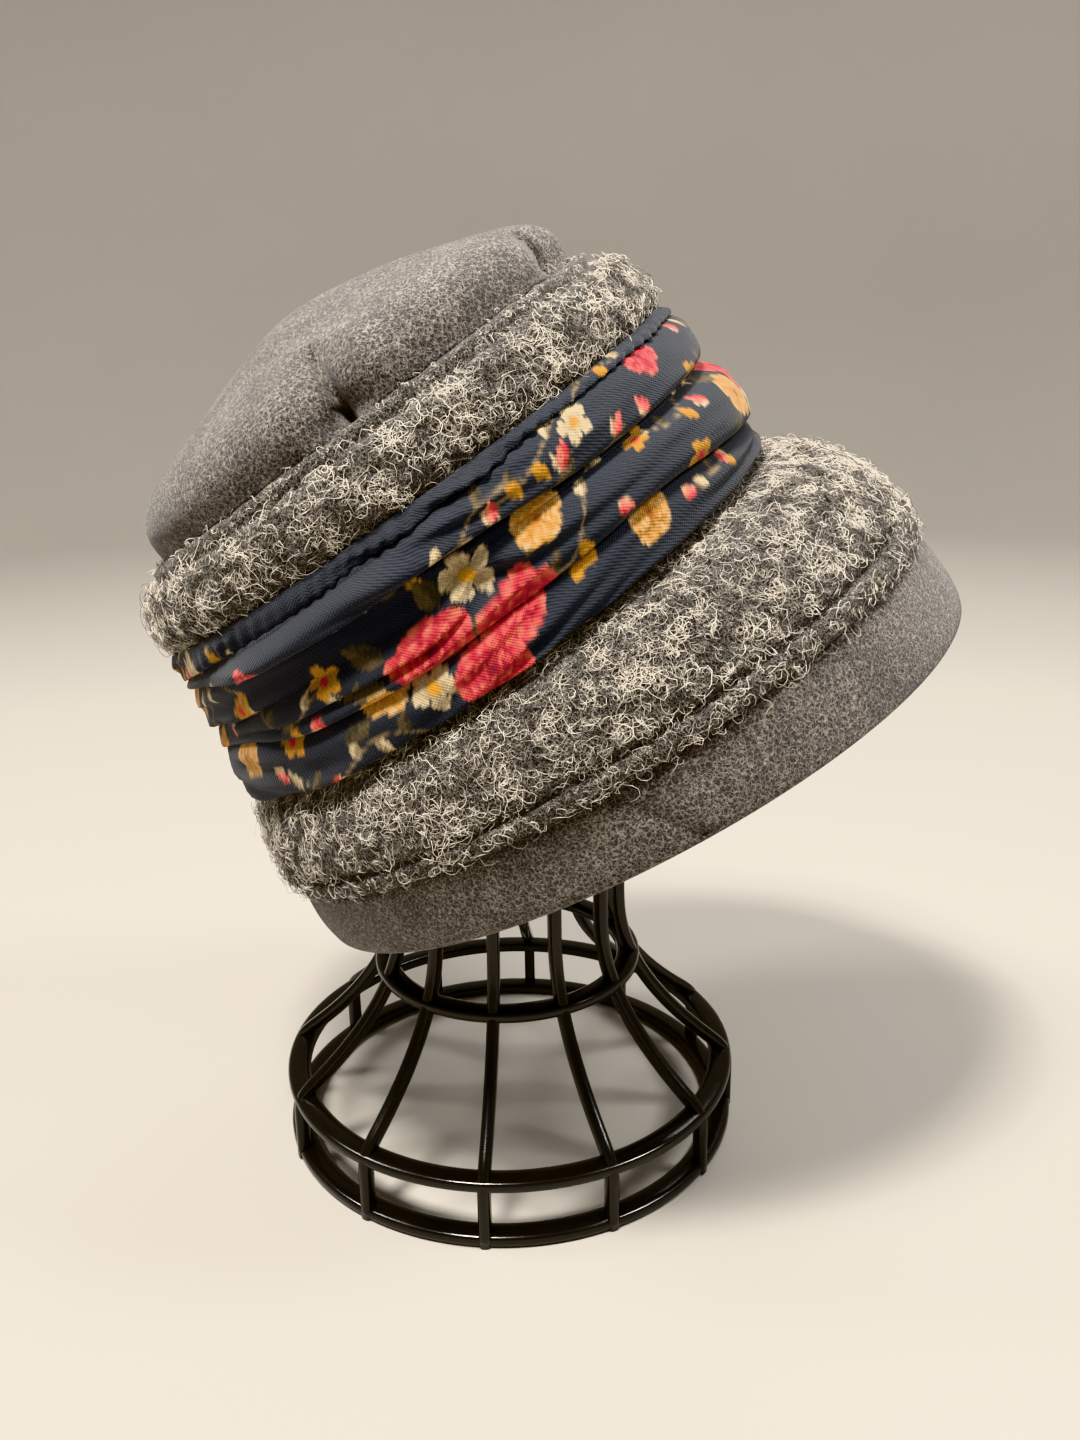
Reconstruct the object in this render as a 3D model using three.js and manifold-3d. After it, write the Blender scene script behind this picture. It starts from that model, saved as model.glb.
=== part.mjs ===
// Cloche hat with a melton wool tip and hem, a boucle side and brim and a ruched
// floral band, resting on the black lattice stand that carries it.
// Millimetres, +Z up. The front of the hat points to +X and is tilted up.

import * as THREE from 'three';
import { mergeVertices } from 'three/addons/utils/BufferGeometryUtils.js';
import Module from 'manifold-3d';

const wasm = await Module();
wasm.setup();

// Hat sizes, taken on the outside of the cloth
const headLength = 199;
const headWidth = 172;
const crownLength = 165;
const rimLength = 252;
const sideHeight = 80;
const tipRise = 38.7;
const brimDrop = 65.5;
const bandHeight = 54.4;
const hemHeight = 26;

// How far each ring lies behind the middle of the rim, and how far its front
// stands above its sides
const headSetback = 13.5;
const crownSetback = 16.2;
const headLift = 4.2;
const crownLift = 5.4;
const rimDip = 5.8;
const rimSag = 2.3;

// Cloth walls and relief
const meltonWall = 2.4;
const boucleWall = 3;
const brimWall = 3.6;
const hemWall = 4;
const bandCloth = 1.6;
const foldHeight = 7;
const tuckDepth = 8;
const tipPuff = 2.2;
const boucleProud = 2.6;
const weltDepth = 1.5;
const weltSetback = 7;

// Pose of the hat on its stand, in degrees and millimetres
const hatTilt = 30.43;
const hatTurn = 1.87;
const hatRoll = 0.63;
const hatForward = 44.8;
const hatAside = -1;

// Stand sizes
const baseRadius = 86.7;
const baseRingHeight = 4.6;
const shoulderHeight = 21.5;
const neckRingHeight = 63.4;
const neckTopHeight = 90;
const neckRadius = 45;
const neckBend = 22;
const sweepPower = 2.1;
const shoulderRound = 1.5;
const globeRadius = 75;
const globeHeight = 227.2;
const capRadius = 15;
const ringDepth = 8.6;
const ringEdge = 1.15;
const ribDepth = 5;
const ribWidth = 5;
const ribOuterWidth = 4;
const ribProud = 0.6;
const ribCount = 12;
const ribTurn = 25;
const footClearance = 0.5;

// Clearances between neighbouring pieces, and between the hat and its stand
const pieceGap = 0.3;
const bandEase = 0.6;
const seatGap = 0.35;

// Fineness of the faceted surfaces
const hatSides = 45;
const ringSides = 36;

// Wool tip from its top to the crown seam: rise is a share of tipRise, spread a
// share of the crown seam's half length
const tipRows = [
  { rise: 1.0, spread: 0 },
  { rise: 0.965, spread: 0.16 },
  { rise: 0.88, spread: 0.34 },
  { rise: 0.77, spread: 0.51 },
  { rise: 0.62, spread: 0.69 },
  { rise: 0.47, spread: 0.85 },
  { rise: 0.36, spread: 0.93 },
  { rise: 0.22, spread: 0.98 },
  { rise: 0, spread: 1 },
];

// Side wall below the crown seam: rise is a share of sideHeight above the head
// seam, taper the share of the way from the head's length to the crown's
const sideRows = [
  { rise: 0.97, taper: 0.7 },
  { rise: 0.92, taper: 0.43 },
  { rise: 0.84, taper: 0.215 },
  { rise: 0.757, taper: 0.13 },
  { rise: 0.68, taper: 0.2 },
  { rise: 0.5, taper: 0.18 },
  { rise: 0.25, taper: 0.09 },
  { rise: 0, taper: 0 },
];

// Brim below the head seam: drop is a share of brimDrop, flare the share of the
// way from the head's length to the rim's
const brimRows = [
  { drop: 0.1, flare: 0.31 },
  { drop: 0.2, flare: 0.52 },
  { drop: 0.3, flare: 0.67 },
  { drop: 0.4, flare: 0.78 },
  { drop: 0.5, flare: 0.86 },
  { drop: 0.6, flare: 0.91 },
  { drop: 0.75, flare: 0.945 },
  { drop: 0.9, flare: 0.98 },
  { drop: 1, flare: 1 },
];

// Section of the hem from its seam round the rim and back: down is the share of the
// way from the seam to the rim, out and past are shares of half its wall
const hemRows = [
  { down: 0.35, out: 0.3, past: 0 },
  { down: 0.7, out: 0.2, past: 0 },
  { down: 1, out: 0, past: -0.5 },
  { down: 1, out: -0.4, past: 0.5 },
  { down: 1, out: -1.6, past: 0.5 },
  { down: 1, out: -2, past: -0.5 },
  { down: 0.5, out: -2, past: 0 },
];

// Tucks where the tip is gathered into the crown seam: angle from the front in
// degrees, depth as a share of tuckDepth, reach as a share of the way to the top
const tucks = [
  { angle: -87, depth: 1, reach: 0.4, width: 7 },
  { angle: -20, depth: 0.75, reach: 0.3, width: 8 },
  { angle: 80, depth: 0.85, reach: 0.3, width: 8 },
  { angle: 171, depth: 0.9, reach: 0.34, width: 8 },
];

// Folds of the floral band at angles from the front. The creases are shares of
// bandHeight from its lower edge up, and the fold columns shares of foldHeight.
const bandRows = [
  { angle: -180, rollCrease: 0.8, upperCrease: 0.75, pocketCrease: 0.47, lowerCrease: 0.36,
    roll: 0.35, upper: 0.15, pocket: 0.5, middle: 0.35, lower: 0.6 },
  { angle: -145, rollCrease: 0.85, upperCrease: 0.78, pocketCrease: 0.49, lowerCrease: 0.39,
    roll: 0.3, upper: 0.5, pocket: 0.3, middle: 0.45, lower: 0.75 },
  { angle: -120, rollCrease: 0.89, upperCrease: 0.76, pocketCrease: 0.51, lowerCrease: 0.3,
    roll: 0.4, upper: 0.9, pocket: 0.05, middle: 0.65, lower: 0.8 },
  { angle: -98, rollCrease: 0.92, upperCrease: 0.745, pocketCrease: 0.5, lowerCrease: 0.28,
    roll: 0.4, upper: 0.95, pocket: 0, middle: 0.7, lower: 0.75 },
  { angle: -80, rollCrease: 0.935, upperCrease: 0.69, pocketCrease: 0.6, lowerCrease: 0.3,
    roll: 0.4, upper: 0.6, pocket: 0.05, middle: 0.6, lower: 0.6 },
  { angle: -55, rollCrease: 0.95, upperCrease: 0.645, pocketCrease: 0.61, lowerCrease: 0.33,
    roll: 0.35, upper: 0.6, pocket: 0.15, middle: 0.75, lower: 0.55 },
  { angle: -10, rollCrease: 0.955, upperCrease: 0.65, pocketCrease: 0.61, lowerCrease: 0.23,
    roll: 0.35, upper: 0.65, pocket: 0.15, middle: 0.95, lower: 0.6 },
  { angle: 50, rollCrease: 0.93, upperCrease: 0.68, pocketCrease: 0.62, lowerCrease: 0.31,
    roll: 0.45, upper: 0.75, pocket: 0.2, middle: 0.8, lower: 0.7 },
  { angle: 90, rollCrease: 0.9, upperCrease: 0.72, pocketCrease: 0.56, lowerCrease: 0.36,
    roll: 0.45, upper: 0.85, pocket: 0.3, middle: 0.7, lower: 0.8 },
  { angle: 135, rollCrease: 0.86, upperCrease: 0.74, pocketCrease: 0.52, lowerCrease: 0.38,
    roll: 0.4, upper: 0.5, pocket: 0.5, middle: 0.55, lower: 0.7 },
];

const radians = THREE.MathUtils.degToRad;
const lerp = THREE.MathUtils.lerp;
const fullTurn = 2 * Math.PI;

// Rings of the whole outer surface, from the top down to the rim
const carrier = [
  ...tipRows.map(({ rise, spread }) => ({
    half: spread * crownLength / 2,
    setback: crownSetback,
    height: brimDrop + sideHeight + rise * tipRise,
    lift: crownLift * spread,
    sag: 0,
  })),
  ...sideRows.map(({ rise, taper }) => ({
    half: lerp(headLength, crownLength, taper) / 2,
    setback: lerp(headSetback, crownSetback, rise),
    height: brimDrop + sideHeight * rise,
    lift: lerp(headLift, crownLift, rise),
    sag: 0,
  })),
  ...brimRows.map(({ drop, flare }) => ({
    half: lerp(headLength, rimLength, flare) / 2,
    setback: headSetback * (1 - flare),
    height: brimDrop * (1 - drop),
    lift: lerp(headLift, -rimDip, drop),
    sag: -rimSag * drop,
  })),
];

const crownSeam = tipRows.length - 1;
const headSeam = crownSeam + sideRows.length;
const rim = carrier.length - 1;

// Smooth curve through one column of the rings, at a whole or broken ring number
function column(name, station) {
  const first = Math.min(Math.max(Math.floor(station), 0), rim - 1);
  const part = station - first;
  const at = (index) => carrier[Math.min(Math.max(index, 0), rim)][name];
  const [before, start, end, after] = [at(first - 1), at(first), at(first + 1), at(first + 2)];
  const slope = (end - before) / 2;
  const nextSlope = (after - start) / 2;
  const bend = 3 * (end - start) - 2 * slope - nextSlope;
  const twist = 2 * (start - end) + slope + nextSlope;
  return start + slope * part + bend * part ** 2 + twist * part ** 3;
}

// Station at which the rings reach a given height, between two whole stations
function stationAt(height, from, to) {
  const halvings = 24;
  let high = from;
  let low = to;
  for (let pass = 0; pass < halvings; pass += 1) {
    const middle = (high + low) / 2;
    if (column('height', middle) > height) {
      high = middle;
    } else {
      low = middle;
    }
  }
  return (high + low) / 2;
}

// Point of the outer surface in the hat's own frame, whose origin is the middle
// of the rim
function hatPoint(station, angle) {
  const half = column('half', station);
  return new THREE.Vector3(
    half * Math.cos(angle) - column('setback', station),
    half * (headWidth / headLength) * Math.sin(angle),
    column('height', station) + column('lift', station) * Math.cos(angle)
      + column('sag', station) * Math.cos(2 * angle),
  );
}

// Point lifted off the outer surface along its normal, and moved down along it
function clothPoint(station, angle, lift, along = 0) {
  const step = 0.02;
  const above = Math.max(station - step, step);
  const round = hatPoint(station, angle + step).sub(hatPoint(station, angle - step));
  const down = hatPoint(Math.min(station + step, rim), angle).sub(hatPoint(above, angle)).normalize();
  const normal = new THREE.Vector3().crossVectors(down, round).normalize();
  return hatPoint(station, angle).addScaledVector(normal, lift).addScaledVector(down, along);
}

// Angle between two directions, in degrees from -180 to 180
function turnBetween(degrees, other) {
  return THREE.MathUtils.euclideanModulo(degrees - other + 180, 360) - 180;
}

// Columns of a table whose rows stand at angles round the hat, eased in between
function tableAt(rows, angle) {
  const degrees = THREE.MathUtils.euclideanModulo(THREE.MathUtils.radToDeg(angle) + 180, 360) - 180;
  let index = rows.length - 1;
  while (index > 0 && rows[index].angle > degrees) {
    index -= 1;
  }
  const start = rows[index];
  const end = rows[(index + 1) % rows.length];
  const span = THREE.MathUtils.euclideanModulo(end.angle - start.angle, 360);
  const part = THREE.MathUtils.smoothstep((degrees - start.angle) / span, 0, 1);
  return Object.fromEntries(Object.keys(start).map((name) => [name, lerp(start[name], end[name], part)]));
}

// Closed body from rings of points, each ring a list with as many points. The
// first and last ring may close on a single point.
function bodyFromRings(rings, closesOnItself) {
  const positions = [];
  const starts = rings.map((ring) => {
    const start = positions.length / 3;
    ring.forEach((point) => positions.push(point.x, point.y, point.z));
    return start;
  });
  const sides = Math.max(...rings.map((ring) => ring.length));
  const vertex = (ring, side) => starts[ring] + (rings[ring].length === 1 ? 0 : side % sides);
  const faces = [];
  const spans = closesOnItself ? rings.length : rings.length - 1;
  for (let ring = 0; ring < spans; ring += 1) {
    const next = (ring + 1) % rings.length;
    for (let side = 0; side < sides; side += 1) {
      const corners = [vertex(ring, side), vertex(ring, side + 1), vertex(next, side + 1), vertex(next, side)];
      if (rings[ring].length > 1) {
        faces.push(corners[0], corners[1], corners[2]);
      }
      if (rings[next].length > 1) {
        faces.push(corners[0], corners[2], corners[3]);
      }
    }
  }
  return facingOut(positions, faces);
}

// Geometry whose faces point out of the body that they close
function facingOut(positions, faces) {
  const corner = (index) => new THREE.Vector3().fromArray(positions, 3 * index);
  let volume = 0;
  for (let face = 0; face < faces.length; face += 3) {
    const [a, b, c] = faces.slice(face, face + 3).map(corner);
    volume += a.dot(b.cross(c));
  }
  const ordered = volume > 0 ? faces : faces.toReversed();
  const geometry = new THREE.BufferGeometry();
  geometry.setAttribute('position', new THREE.Float32BufferAttribute(positions, 3));
  geometry.setIndex(ordered);
  return geometry;
}

// Ring of points round the hat, from a rule that gives station, lift and along
function hatRing(rule) {
  return Array.from({ length: hatSides }, (_, side) => {
    const angle = fullTurn * side / hatSides;
    const { station, lift, along } = rule(angle);
    return clothPoint(station, angle, lift, along);
  });
}

// Whole ring numbers from one to another
function stations(first, last, step = 1) {
  return Array.from({ length: Math.floor((last - first) / step) + 1 }, (_, index) => first + index * step);
}

// Relief of the tip: it puffs over the crown seam and sinks at each tuck. Height
// is the share of the way from the seam to the top.
function tipRelief(angle, height) {
  const degrees = THREE.MathUtils.radToDeg(angle);
  const puffReach = 0.6;
  let relief = tipPuff * Math.sin(Math.PI * Math.min(height / puffReach, 1));
  for (const tuck of tucks) {
    const across = turnBetween(degrees, tuck.angle) / tuck.width;
    const fade = Math.max(1 - height / tuck.reach, 0);
    relief -= tuckDepth * tuck.depth * fade * Math.exp(-(across ** 2));
  }
  return relief;
}

// Wool tip: a domed wall from its top to the crown seam
function crownTip() {
  const besideSeam = crownSeam - 0.4;
  const outer = [...stations(1, crownSeam - 1), besideSeam];
  const inner = [...stations(2, crownSeam - 2, 2), crownSeam - 1].reverse();
  const ring = (station, wall, along = 0) => hatRing((angle) => ({
    station,
    lift: tipRelief(angle, 1 - station / crownSeam) - wall,
    along,
  }));
  const top = hatPoint(0, 0);
  const underTop = top.clone().setZ(top.z - meltonWall);
  return bodyFromRings([
    [top],
    ...outer.map((station) => ring(station, 0)),
    ring(crownSeam, 0, -pieceGap / 2),
    ring(crownSeam, meltonWall, -pieceGap / 2),
    ...inner.map((station) => ring(station, meltonWall)),
    [underTop],
  ], false);
}

// Boucle side wall from the crown seam down to the head seam, under the band
function crownSide() {
  const besideSeam = crownSeam + 0.5;
  const outer = [besideSeam, ...stations(crownSeam + 1, headSeam - 1)];
  const inner = [crownSeam + 2, ...stations(crownSeam + 3, headSeam - 1, 2)].reverse();
  const ring = (station, wall, along = 0) => hatRing(() => ({ station, lift: -wall, along }));
  return bodyFromRings([
    ring(crownSeam, 0, pieceGap / 2),
    ...outer.map((station) => ring(station, 0)),
    ring(headSeam, 0, -pieceGap / 2),
    ring(headSeam, boucleWall, -pieceGap / 2),
    ...inner.map((station) => ring(station, boucleWall)),
    ring(crownSeam, boucleWall, pieceGap / 2),
  ], true);
}

// Share of its fold's height at a share of the way from one crease to the next
function foldProfile(part) {
  return Math.sqrt(Math.max(1 - (2 * part - 1) ** 4, 0));
}

// Rings of the floral band from its top edge to its lower edge. Each fold holds
// the given shares of the way between its creases.
function bandRings(parts, wall) {
  const folds = [
    { name: 'roll', upper: () => 1, lower: (row) => row.rollCrease },
    { name: 'upper', upper: (row) => row.rollCrease, lower: (row) => row.upperCrease },
    { name: 'pocket', upper: (row) => row.upperCrease, lower: (row) => row.pocketCrease },
    { name: 'middle', upper: (row) => row.pocketCrease, lower: (row) => row.lowerCrease },
    { name: 'lower', upper: (row) => row.lowerCrease, lower: () => 0 },
  ];
  const seat = bandEase + bandCloth;
  const ring = (fold, part, along = 0) => hatRing((angle) => {
    const row = tableAt(bandRows, angle);
    const share = lerp(fold.upper(row), fold.lower(row), part);
    const height = brimDrop + bandHeight * share;
    return {
      station: stationAt(height, crownSeam, headSeam),
      lift: seat + foldHeight * row[fold.name] * foldProfile(part) - wall,
      along,
    };
  });
  const rings = folds.flatMap((fold) => [
    ring(fold, 0),
    ...parts[fold.name].map((part) => ring(fold, part)),
  ]);
  return [...rings, ring(folds[4], 1, -pieceGap)];
}

// Ruched floral band, one folded wall of cloth lying on the side wall
function floralBand() {
  const outer = { roll: [0.5], upper: [0.25, 0.75], pocket: [0.5], middle: [0.25, 0.75], lower: [0.2, 0.65] };
  const inner = { roll: [], upper: [0.5], pocket: [0.5], middle: [0.5], lower: [0.2, 0.65] };
  return bodyFromRings([...bandRings(outer, 0), ...bandRings(inner, bandCloth).reverse()], true);
}

// Boucle brim with a stitched welt above its lower edge
function brim() {
  const weltSpread = 1.7;
  const hemSeam = stationAt(hemHeight, headSeam, rim);
  const weltSeam = stationAt(hemHeight + weltSetback, headSeam, rim);
  const weltTop = stationAt(hemHeight + weltSpread * weltSetback, headSeam, rim);
  const proud = (station) => boucleProud * Math.min((station - headSeam) / (weltTop - headSeam), 1);
  const ring = (station, lift, along = 0) => hatRing(() => ({ station, lift, along }));
  const outerShares = [0.18, 0.36, 0.54, 0.72, 0.88];
  const innerShares = [0.66, 0.33];
  const wall = (shares, depth) => shares.map((share) => {
    const station = lerp(headSeam, weltTop, share);
    return ring(station, proud(station) - depth);
  });
  return bodyFromRings([
    ring(headSeam, 0, pieceGap / 2),
    ...wall(outerShares, 0),
    ring(weltTop, boucleProud),
    ring(weltSeam, boucleProud - weltDepth),
    ring((weltSeam + hemSeam) / 2, boucleProud),
    ring(hemSeam, boucleProud - weltDepth / 2, -pieceGap / 2),
    ring(hemSeam, boucleProud - brimWall, -pieceGap / 2),
    ring(weltTop, boucleProud - brimWall),
    ...wall(innerShares, brimWall),
    ring(headSeam, -boucleWall, pieceGap / 2),
  ], true);
}

// Melton hem of the brim, turned under in a round edge at the rim
function brimHem() {
  const hemSeam = stationAt(hemHeight, headSeam, rim);
  const ring = (station, lift, along = 0) => hatRing(() => ({ station, lift, along }));
  const edge = hemWall / 2;
  return bodyFromRings([
    ring(hemSeam, 0, pieceGap / 2),
    ...hemRows.map(({ down, out, past }) => ring(lerp(hemSeam, rim, down), out * edge, past * edge)),
    ring(hemSeam, -hemWall, pieceGap / 2),
  ], true);
}

// Outer edge of a rib from the foot to the cap, as distance from the axis and
// height: a post, a sweep in to the neck, the neck, and the globe
function ribPath() {
  const outside = baseRadius + ribProud;
  const shoulderTop = shoulderHeight + baseRingHeight;
  const path = [
    [outside, footClearance],
    [outside, shoulderTop],
  ];
  const sweepSteps = 6;
  for (let step = 1; step <= sweepSteps; step += 1) {
    const share = 1 - step / sweepSteps;
    const height = lerp(neckTopHeight, shoulderTop + shoulderRound, share);
    path.push([neckRadius + (outside - shoulderRound - neckRadius) * share ** sweepPower, height]);
  }
  const bendAngle = Math.acos((neckRadius + neckBend) / (globeRadius + neckBend));
  const bendHeight = globeHeight - (globeRadius + neckBend) * Math.sin(bendAngle);
  const bendSteps = 3;
  for (let step = 0; step < bendSteps; step += 1) {
    const angle = bendAngle * step / bendSteps;
    path.push([
      neckRadius + neckBend * (1 - Math.cos(angle)),
      bendHeight + neckBend * Math.sin(angle),
    ]);
  }
  const capAngle = Math.acos((capRadius + pieceGap) / globeRadius);
  const globeSteps = 11;
  for (let step = 0; step <= globeSteps; step += 1) {
    const angle = lerp(-bendAngle, capAngle, step / globeSteps);
    path.push([globeRadius * Math.cos(angle), globeHeight + globeRadius * Math.sin(angle)]);
  }
  return path.map(([distance, height]) => new THREE.Vector2(distance, height));
}

// Direction from a point of the rib's path into the rib. At the last point it is
// the direction of the globe's middle, so that the rib's end is cut squarely.
function inwardAt(path, index) {
  if (index === path.length - 1) {
    return new THREE.Vector2(0, globeHeight).sub(path[index]).normalize();
  }
  const along = path[index + 1].clone().sub(path[Math.max(index - 1, 0)]).normalize();
  return new THREE.Vector2(-along.y, along.x);
}

// Rib standing in the XZ plane: its section is carried along the path with the
// narrower face outside. Grown adds a clearance all round.
function rib(grown = 0) {
  const path = ribPath();
  const rings = path.map((point, index) => {
    const inward = inwardAt(path, index);
    const corner = (depth, side) => {
      const place = point.clone().addScaledVector(inward, depth);
      const end = index === 0 ? -grown : 0;
      return new THREE.Vector3(place.x, side, place.y + end);
    };
    const outerHalf = ribOuterWidth / 2 + grown;
    const innerHalf = ribWidth / 2 + grown;
    return [
      corner(-grown, -outerHalf),
      corner(-grown, outerHalf),
      corner(ribDepth + grown, innerHalf),
      corner(ribDepth + grown, -innerHalf),
    ];
  });
  const positions = rings.flat().flatMap((point) => [point.x, point.y, point.z]);
  const faces = [0, 1, 2, 0, 2, 3];
  for (let index = 0; index < rings.length - 1; index += 1) {
    for (let side = 0; side < 4; side += 1) {
      const [a, b] = [4 * index + side, 4 * index + (side + 1) % 4];
      faces.push(a, b + 4, b, a, a + 4, b + 4);
    }
  }
  const last = 4 * (rings.length - 1);
  faces.push(last, last + 2, last + 1, last, last + 3, last + 2);
  return facingOut(positions, faces);
}

// Manifold solid of a closed geometry
function solidOf(geometry) {
  const bare = geometry.clone();
  bare.deleteAttribute('normal');
  bare.deleteAttribute('uv');
  const merged = mergeVertices(bare, 1e-3);
  return new wasm.Manifold(new wasm.Mesh({
    numProp: 3,
    vertProperties: new Float32Array(merged.attributes.position.array),
    triVerts: new Uint32Array(merged.index.array),
  }));
}

// Geometry of a manifold solid
function geometryOf(solid) {
  const mesh = solid.getMesh();
  const geometry = new THREE.BufferGeometry();
  geometry.setAttribute('position', new THREE.BufferAttribute(new Float32Array(mesh.vertProperties), 3));
  geometry.setIndex(new THREE.BufferAttribute(new Uint32Array(mesh.triVerts), 1));
  return geometry;
}

// Flat ring lying level, notched where the ribs pass its outside
function ring(outerRadius, height) {
  const inner = outerRadius - ringDepth;
  const profile = [
    [inner, 0], [outerRadius - ringEdge, 0], [outerRadius, baseRingHeight / 2],
    [outerRadius - ringEdge, baseRingHeight], [inner, baseRingHeight], [inner, 0],
  ].map(([distance, rise]) => new THREE.Vector2(distance, rise));
  const lathe = new THREE.LatheGeometry(profile, ringSides).rotateX(Math.PI / 2).translate(0, 0, height);
  const notch = rib(pieceGap);
  let solid = solidOf(lathe);
  for (let index = 0; index < ribCount; index += 1) {
    solid = solid.subtract(solidOf(notch.clone().rotateZ(ribAngle(index))));
  }
  return geometryOf(solid);
}

// Direction of a rib about the stand's axis
function ribAngle(index) {
  return radians(ribTurn) + fullTurn * index / ribCount;
}

// Small dome that closes the top of the globe between the ribs' ends
function globeCap() {
  const edge = Math.acos(capRadius / globeRadius);
  const on = (radius, share) => {
    const angle = lerp(Math.PI / 2, edge, share);
    return new THREE.Vector2(radius * Math.cos(angle), globeHeight + radius * Math.sin(angle));
  };
  const inside = globeRadius - ribDepth;
  const profile = [
    on(inside, 0), on(inside, 0.6), on(inside, 1),
    on(globeRadius, 1), on(globeRadius, 0.6), on(globeRadius, 0),
  ];
  profile[0].x = 0;
  profile[5].x = 0;
  return new THREE.LatheGeometry(profile, ringSides / 2).rotateX(Math.PI / 2);
}

// Height of the middle of the rim at which the hat rests on the globe: it starts
// round the globe and comes down by the room that is left, until the seat gap
function seatedHeight(hat, cloth) {
  hat.updateMatrix();
  const turn = new THREE.Matrix4().extractRotation(hat.matrix);
  const walls = cloth.flatMap((geometry) => trianglesOf(geometry.clone().applyMatrix4(turn)));
  const probes = globePoints();
  const start = hatPoint(headSeam, 0).setX(-headSetback).applyMatrix4(turn).z;
  const closeEnough = 0.005;
  let height = globeHeight - start;
  let room = seatGap;
  const nearest = new THREE.Vector3();
  const probe = new THREE.Vector3();
  do {
    room = Infinity;
    const offset = new THREE.Vector3(hatForward, hatAside, height);
    for (const point of probes) {
      probe.copy(point).sub(offset);
      for (const wall of walls) {
        if (wall.centre.distanceTo(probe) - wall.reach < room) {
          wall.triangle.closestPointToPoint(probe, nearest);
          room = Math.min(room, nearest.distanceTo(probe));
        }
      }
    }
    height -= room - seatGap;
  } while (room - seatGap > closeEnough);
  return height;
}

// Triangles of a geometry, each with its centre and the reach of its corners
function trianglesOf(geometry) {
  const { position } = geometry.attributes;
  const order = geometry.index.array;
  const triangles = [];
  for (let face = 0; face < order.length; face += 3) {
    const corners = [0, 1, 2].map((k) => new THREE.Vector3().fromBufferAttribute(position, order[face + k]));
    const triangle = new THREE.Triangle(...corners);
    const centre = triangle.getMidpoint(new THREE.Vector3());
    triangles.push({ triangle, centre, reach: Math.max(...corners.map((c) => c.distanceTo(centre))) });
  }
  return triangles;
}

// Outermost points of the globe's ribs and cap
function globePoints() {
  const shape = rib();
  const points = [];
  for (let index = 0; index < ribCount; index += 1) {
    const { position } = shape.clone().rotateZ(ribAngle(index)).attributes;
    for (let corner = 0; corner < position.count; corner += 1) {
      if (corner % 4 < 2 && position.getZ(corner) > globeHeight - globeRadius / 2) {
        points.push(new THREE.Vector3().fromBufferAttribute(position, corner));
      }
    }
  }
  points.push(new THREE.Vector3(0, 0, globeHeight + globeRadius));
  return points;
}

const finishes = {
  melton: new THREE.MeshStandardMaterial({ color: 0x5e5856, roughness: 0.95, metalness: 0 }),
  boucle: new THREE.MeshStandardMaterial({ color: 0x8f8b86, roughness: 1, metalness: 0 }),
  floral: new THREE.MeshStandardMaterial({ color: 0x232a38, roughness: 0.85, metalness: 0 }),
  black: new THREE.MeshStandardMaterial({ color: 0x15120f, roughness: 0.35, metalness: 0 }),
};

function named(name, geometry, finish) {
  const mesh = new THREE.Mesh(geometry, finish);
  mesh.name = name;
  return mesh;
}

// Hat with its five cloth pieces, tilted and lowered on to the globe
function buildHat() {
  const hat = new THREE.Group();
  const tip = crownTip();
  const side = crownSide();
  const brimShape = brim();
  hat.add(
    named('crown_tip', tip, finishes.melton),
    named('crown_side', side, finishes.boucle),
    named('floral_band', floralBand(), finishes.floral),
    named('brim', brimShape, finishes.boucle),
    named('brim_hem', brimHem(), finishes.melton),
  );
  hat.rotation.set(radians(hatRoll), -radians(hatTilt), radians(hatTurn), 'ZXY');
  hat.position.set(hatForward, hatAside, seatedHeight(hat, [tip, side, brimShape]));
  return hat;
}

// Lattice stand: twelve ribs, three level rings and the cap of the globe
function buildStand() {
  const stand = new THREE.Group();
  const fall = (neckTopHeight - neckRingHeight) / (neckTopHeight - shoulderHeight);
  const neckRingRadius = neckRadius + (baseRadius - neckRadius) * fall ** sweepPower;
  stand.add(
    named('base_ring', ring(baseRadius, 0), finishes.black),
    named('shoulder_ring', ring(baseRadius, shoulderHeight), finishes.black),
    named('neck_ring', ring(neckRingRadius, neckRingHeight), finishes.black),
    named('globe_cap', globeCap(), finishes.black),
  );
  for (let index = 0; index < ribCount; index += 1) {
    const piece = named(`rib_${String(index + 1).padStart(2, '0')}`, rib(), finishes.black);
    piece.rotation.z = ribAngle(index);
    stand.add(piece);
  }
  return stand;
}

const cloche = new THREE.Group();
cloche.add(buildStand(), buildHat());

// The origin is the middle of the whole object's footprint, on the floor
const extent = new THREE.Box3().setFromObject(cloche, true);
const middle = extent.getCenter(new THREE.Vector3());
cloche.position.set(-middle.x, -middle.y, -extent.min.z);

export default cloche;
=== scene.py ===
# Looks of a wool cloche hat and the lattice stand that carries it, built round the
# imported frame. All lengths are in metres, +Z up, with the hat's front to +X.

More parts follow.
